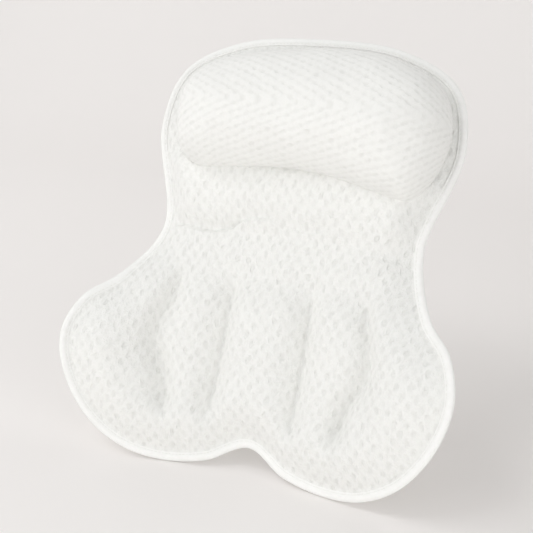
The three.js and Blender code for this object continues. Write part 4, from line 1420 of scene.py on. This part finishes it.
@dataclass
class Stitches:
    """Thread stitches set along rows of points by a Geometry Nodes tree."""

    pad: Pad
    finishes: Finishes

    def __post_init__(self) -> None:
        """Builds the tree: one raised loop of thread on each point, sunk at both ends."""
        tree = bpy.data.node_groups.new("Stitches", "GeometryNodeTree")
        self.tree = tree
        face = tree.interface
        face.new_socket("Geometry", in_out="INPUT", socket_type="NodeSocketGeometry")
        self.inputs = {}
        kinds = {"Stitch Length": "Float", "Thread Radius": "Float", "Rise": "Float", "Seed": "Int"}
        for name, kind in kinds.items():
            item = face.new_socket(name, in_out="INPUT", socket_type=f"NodeSocket{kind}")
            self.inputs[name] = item.identifier
        face.new_socket("Geometry", in_out="OUTPUT", socket_type="NodeSocketGeometry")
        given = add_node(tree, "NodeGroupInput").outputs
        thread = self._thread(given)
        ways = [add_node(tree, "GeometryNodeInputNamedAttribute", {"data_type": "FLOAT_VECTOR"}, Name=name)
                for name in ("out", "run")]
        turn = add_node(tree, "FunctionNodeAxesToRotation", {"primary_axis": "Z", "secondary_axis": "X"},
                        in0=ways[0].outputs["Attribute"], in1=ways[1].outputs["Attribute"])
        size = add_node(tree, "FunctionNodeRandomValue", {"data_type": "FLOAT_VECTOR"}, Min=(0.88, 0.9, 0.85),
                        Max=(1.04, 1.1, 1.15), Seed=given["Seed"])
        dots = add_node(tree, "GeometryNodeMeshToPoints", Mesh=given["Geometry"])
        placed = add_node(tree, "GeometryNodeInstanceOnPoints", Points=dots.outputs[0], Instance=thread,
                          Rotation=turn.outputs[0], Scale=size.outputs[0])
        real = add_node(tree, "GeometryNodeRealizeInstances", Geometry=placed.outputs[0])
        shade = add_node(tree, "GeometryNodeSetShadeSmooth", Geometry=real.outputs[0])
        coloured = add_node(tree, "GeometryNodeSetMaterial", Geometry=shade.outputs[0],
                            Material=self.finishes.thread)
        add_node(tree, "NodeGroupOutput", Geometry=coloured.outputs[0])

    def _thread(self, given: NodeInputs) -> NodeSocket:
        """One loop of thread along X: a bent curve with both ends under the cloth, swept by a circle."""
        tree, radius = self.tree, given["Thread Radius"]
        sunk = calc(tree, "MULTIPLY", radius, -1.2)
        halves = [calc(tree, "MULTIPLY", given["Stitch Length"], share) for share in (-0.5, 0.5)]
        ends = [add_node(tree, "ShaderNodeCombineXYZ", X=half, Z=sunk) for half in halves]
        middle = add_node(tree, "ShaderNodeCombineXYZ", Z=calc(tree, "MULTIPLY", given["Rise"], 2.0))
        loop = add_node(tree, "GeometryNodeCurveQuadraticBezier", Resolution=6, Start=ends[0].outputs[0],
                        Middle=middle.outputs[0], End=ends[1].outputs[0])
        section = add_node(tree, "GeometryNodeCurvePrimitiveCircle", Resolution=6, Radius=radius)
        return add_node(tree, "GeometryNodeCurveToMesh", Curve=loop.outputs[0],
                        Profile_Curve=section.outputs[0], Fill_Caps=True).outputs[0]

    def sew(self, name: str, rows: list, length: float, radius: float, rise: float, seed: int) -> Object:
        """Sews rows of stitches into one plain mesh.

        Args:
            name: The piece's name.
            rows: Points, runs and outward ways of each row, in the pad's frame.
            length: Length of one stitch in millimetres.
            radius: Radius of the thread.
            rise: How far the thread stands off the cloth.
            seed: Picks the small differences between stitches.

        Returns:
            The piece.
        """
        spots, run, out = (np.concatenate(part) for part in zip(*rows))
        mesh = bpy.data.meshes.new(name)
        mesh.from_pydata(self.pad.lean.place(spots).tolist(), [], [])
        for label, way in (("run", run), ("out", out)):
            stored = mesh.attributes.new(label, "FLOAT_VECTOR", "POINT")
            stored.data.foreach_set("vector", self.pad.lean.turn(way).astype(np.float32).ravel())
        guide = add_object(f"{name}_guide", mesh)
        modifier = guide.modifiers.new("Stitches", "NODES")
        modifier.node_group = self.tree
        values = {"Stitch Length": length * MM, "Thread Radius": radius * MM, "Rise": rise * MM, "Seed": seed}
        for label, value in values.items():
            modifier[self.inputs[label]] = value
        evaluated = guide.evaluated_get(bpy.context.evaluated_depsgraph_get())
        final = bpy.data.meshes.new_from_object(evaluated)
        final.name = name
        piece = add_object(name, final)
        bpy.data.objects.remove(guide, do_unlink=True)
        return piece


@dataclass
class BarTacks:
    """Close zigzag stitching that holds both feet of each webbing tab to the back cover."""

    pad: Pad
    foot: float = 19.5
    rows_apart: float = 3.0
    width: float = 17.0
    pitch: float = 1.1
    slant: float = 0.45
    face: float = 1.7

    def rows(self, row: CupRow) -> list:
        """The tacks of both tabs in a row of cups."""
        found = []
        count = round(self.width / self.pitch)
        for side in Side:
            for way in (-1, 1):
                for step in (-0.5, 0.5):
                    x = side.value * self.pad.cup_across + (np.arange(count) - (count - 1) / 2) * self.pitch
                    z = np.full(count, row.value + way * self.foot + step * self.rows_apart)
                    slant = self.slant * np.where(np.arange(count) % 2, 1.0, -1.0)
                    spots = np.stack([x, np.full(count, self.face), z], -1)
                    run = np.stack([slant, np.zeros(count), np.ones(count)], -1)
                    found.append((spots, run, np.broadcast_to([0.0, 1.0, 0.0], (count, 3))))
        return found


# Studio


@dataclass(frozen=True)
class Lamp:
    """A square studio lamp by its direction from the pillow, in degrees right of the front and above it."""

    name: str
    azimuth: float
    elevation: float
    power: float
    size: float = 1.6
    distance: float = 2.6


@dataclass
class Studio:
    """Floor, backdrop, lights and the camera at the photograph's angle."""

    finishes: Finishes
    camera_place: tuple[float, float, float] = (0.3475, -0.8717, 0.3044)
    azimuth: float = 23.47
    elevation: float = 19.44
    lens: float = 67.53
    card_half: float = 4.0
    card_front: float = -3.0
    card_bend: float = 0.9
    card_bend_steps: int = 12
    card_top: float = 3.2
    room: float = 0.38
    seen_room: float = 0.84
    lamps: Sequence[Lamp] = (
        Lamp("key", -40.0, 55.0, 10.0, 1.0),
        Lamp("side", -75.0, 40.0, 9.2, 0.8),
        Lamp("front_left", -30.0, 12.0, 16.0),
        Lamp("front_right", 30.0, 12.0, 9.5),
        Lamp("right", 60.0, 10.0, 12.0, 1.0),
        Lamp("behind", 150.0, 55.0, 5.6, 1.0),
        Lamp("backdrop", -110.0, 35.0, 7.5),
    )

    def build(self, floor: float) -> None:
        """Builds the studio on a floor height in metres."""
        self._card(floor)
        self._lights()
        self._camera()

    def _card(self, floor: float) -> None:
        """Floor that sweeps up into the backdrop."""
        bend = self.card_bend
        run = [(self.card_front, 0.0), (bend, 0.0)]
        for k in range(1, self.card_bend_steps + 1):
            angle = k / self.card_bend_steps * math.pi / 2
            run.append((bend + bend * math.sin(angle), bend - bend * math.cos(angle)))
        run.append((2 * bend, self.card_top))
        points, faces = [], []
        for y, z in run:
            points += [(-self.card_half, y, z + floor), (self.card_half, y, z + floor)]
        for k in range(len(run) - 1):
            faces.append((2 * k, 2 * k + 1, 2 * k + 3, 2 * k + 2))
        mesh = bpy.data.meshes.new("studio_card")
        mesh.from_pydata(points, [], faces)
        mesh.polygons.foreach_set("use_smooth", [True] * len(mesh.polygons))
        mesh.materials.append(self.finishes.card)
        card = add_object("studio_card", mesh)
        card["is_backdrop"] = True

    def _lights(self) -> None:
        """A pale room with soft lamps, most of the light from the left and in front."""
        world = bpy.data.worlds.new("pale_room")
        world.use_nodes = True
        tree = world.node_tree
        background = tree.nodes["Background"]
        background.inputs["Color"].default_value = linear("#FFFFFF")
        # the room is seen pale, directly and through the clear cups, but gives no more light for that
        rays = add_node(tree, "ShaderNodeLightPath")
        seen = calc(tree, "MAXIMUM", rays.outputs["Is Camera Ray"], rays.outputs["Is Transmission Ray"])
        shown = add_node(tree, "ShaderNodeMapRange", Value=seen, To_Min=self.room, To_Max=self.seen_room)
        tree.links.new(shown.outputs[0], background.inputs["Strength"])
        bpy.context.scene.world = world
        for lamp in self.lamps:
            data = bpy.data.lights.new(lamp.name, "AREA")
            data.shape, data.size, data.energy = "SQUARE", lamp.size, lamp.power
            stand = add_object(lamp.name, data)
            stand.location = self._aim(stand, lamp.azimuth, lamp.elevation) * lamp.distance

    def _camera(self) -> None:
        """The camera."""
        data = bpy.data.cameras.new("camera")
        data.lens, data.sensor_width = self.lens, 36.0
        data.clip_start, data.clip_end = 0.05, 20.0
        camera = add_object("camera", data)
        self._aim(camera, self.azimuth, self.elevation)
        camera.location = self.camera_place
        bpy.context.scene.camera = camera

    def _aim(self, item: Object, azimuth: float, elevation: float) -> Vector:
        """Turns a lamp or the camera to look along a direction at the pillow, and returns the way back."""
        a, e = math.radians(azimuth), math.radians(elevation)
        way = Vector((math.sin(a) * math.cos(e), -math.cos(a) * math.cos(e), math.sin(e)))
        item.rotation_euler = (-way).to_track_quat("-Z", "Y").to_euler()
        return way


def blend_at_neck(piece: Object, pad: Pad) -> None:
    """Bakes the place of a piece that crosses the neck crease into its mesh; the crease's ends are worked out
    but not used.
    """
    depth, low, high = 1.4, -10.0, 44.0
    ends = pad.lean.place(np.array([[0.0, depth, low], [0.0, depth, high]]))
    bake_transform(piece)


def dress_tabs(finishes: Finishes) -> None:
    """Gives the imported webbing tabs, whose shape stays, their woven finish."""
    for name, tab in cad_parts.items():
        if name.startswith("cup_tab_"):
            tab.data.materials.clear()
            tab.data.materials.append(finishes.webbing)


def main() -> None:
    """Builds and dresses the whole pillow."""
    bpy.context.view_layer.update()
    bpy.context.scene.view_settings.view_transform = "Standard"
    finishes = Finishes.make()
    pad = Pad()
    grid = PlanGrid(pad)
    tape = EdgeTape(pad, finishes)
    stitches = Stitches(pad, finishes)
    seam = stitches.sew("edge_stitches", tape.rows(), length=3.1, radius=0.28, rise=0.3, seed=7)
    front, back = Cushion(pad, finishes).build(grid), BackCover(pad, finishes).build(grid)
    for piece in (front, back, tape.build(), seam):
        blend_at_neck(piece, pad)
        LOG.info("%s: %d faces", piece.name, len(piece.data.polygons))
    roll = HeadRoll(pad, finishes).build()
    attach(roll, Body.HEAD.value)
    LOG.info("%s: %d faces", roll.name, len(roll.data.polygons))
    dress_tabs(finishes)
    for row in CupRow:
        for side in Side:
            SuctionCup(pad, finishes, row, side).build()
        tack = stitches.sew(f"bar_tacks_{row.name.lower()}", BarTacks(pad).rows(row), length=3.4,
                            radius=0.25, rise=0.25, seed=11)
        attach(tack, (Body.HEAD if row is CupRow.HEAD else Body.SHOULDERS).value)
    low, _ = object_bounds()
    Studio(finishes).build(low.z - FLOOR_GAP)


if __name__ == "__main__":
    logging.basicConfig(level=logging.INFO, format="%(message)s")
    main()
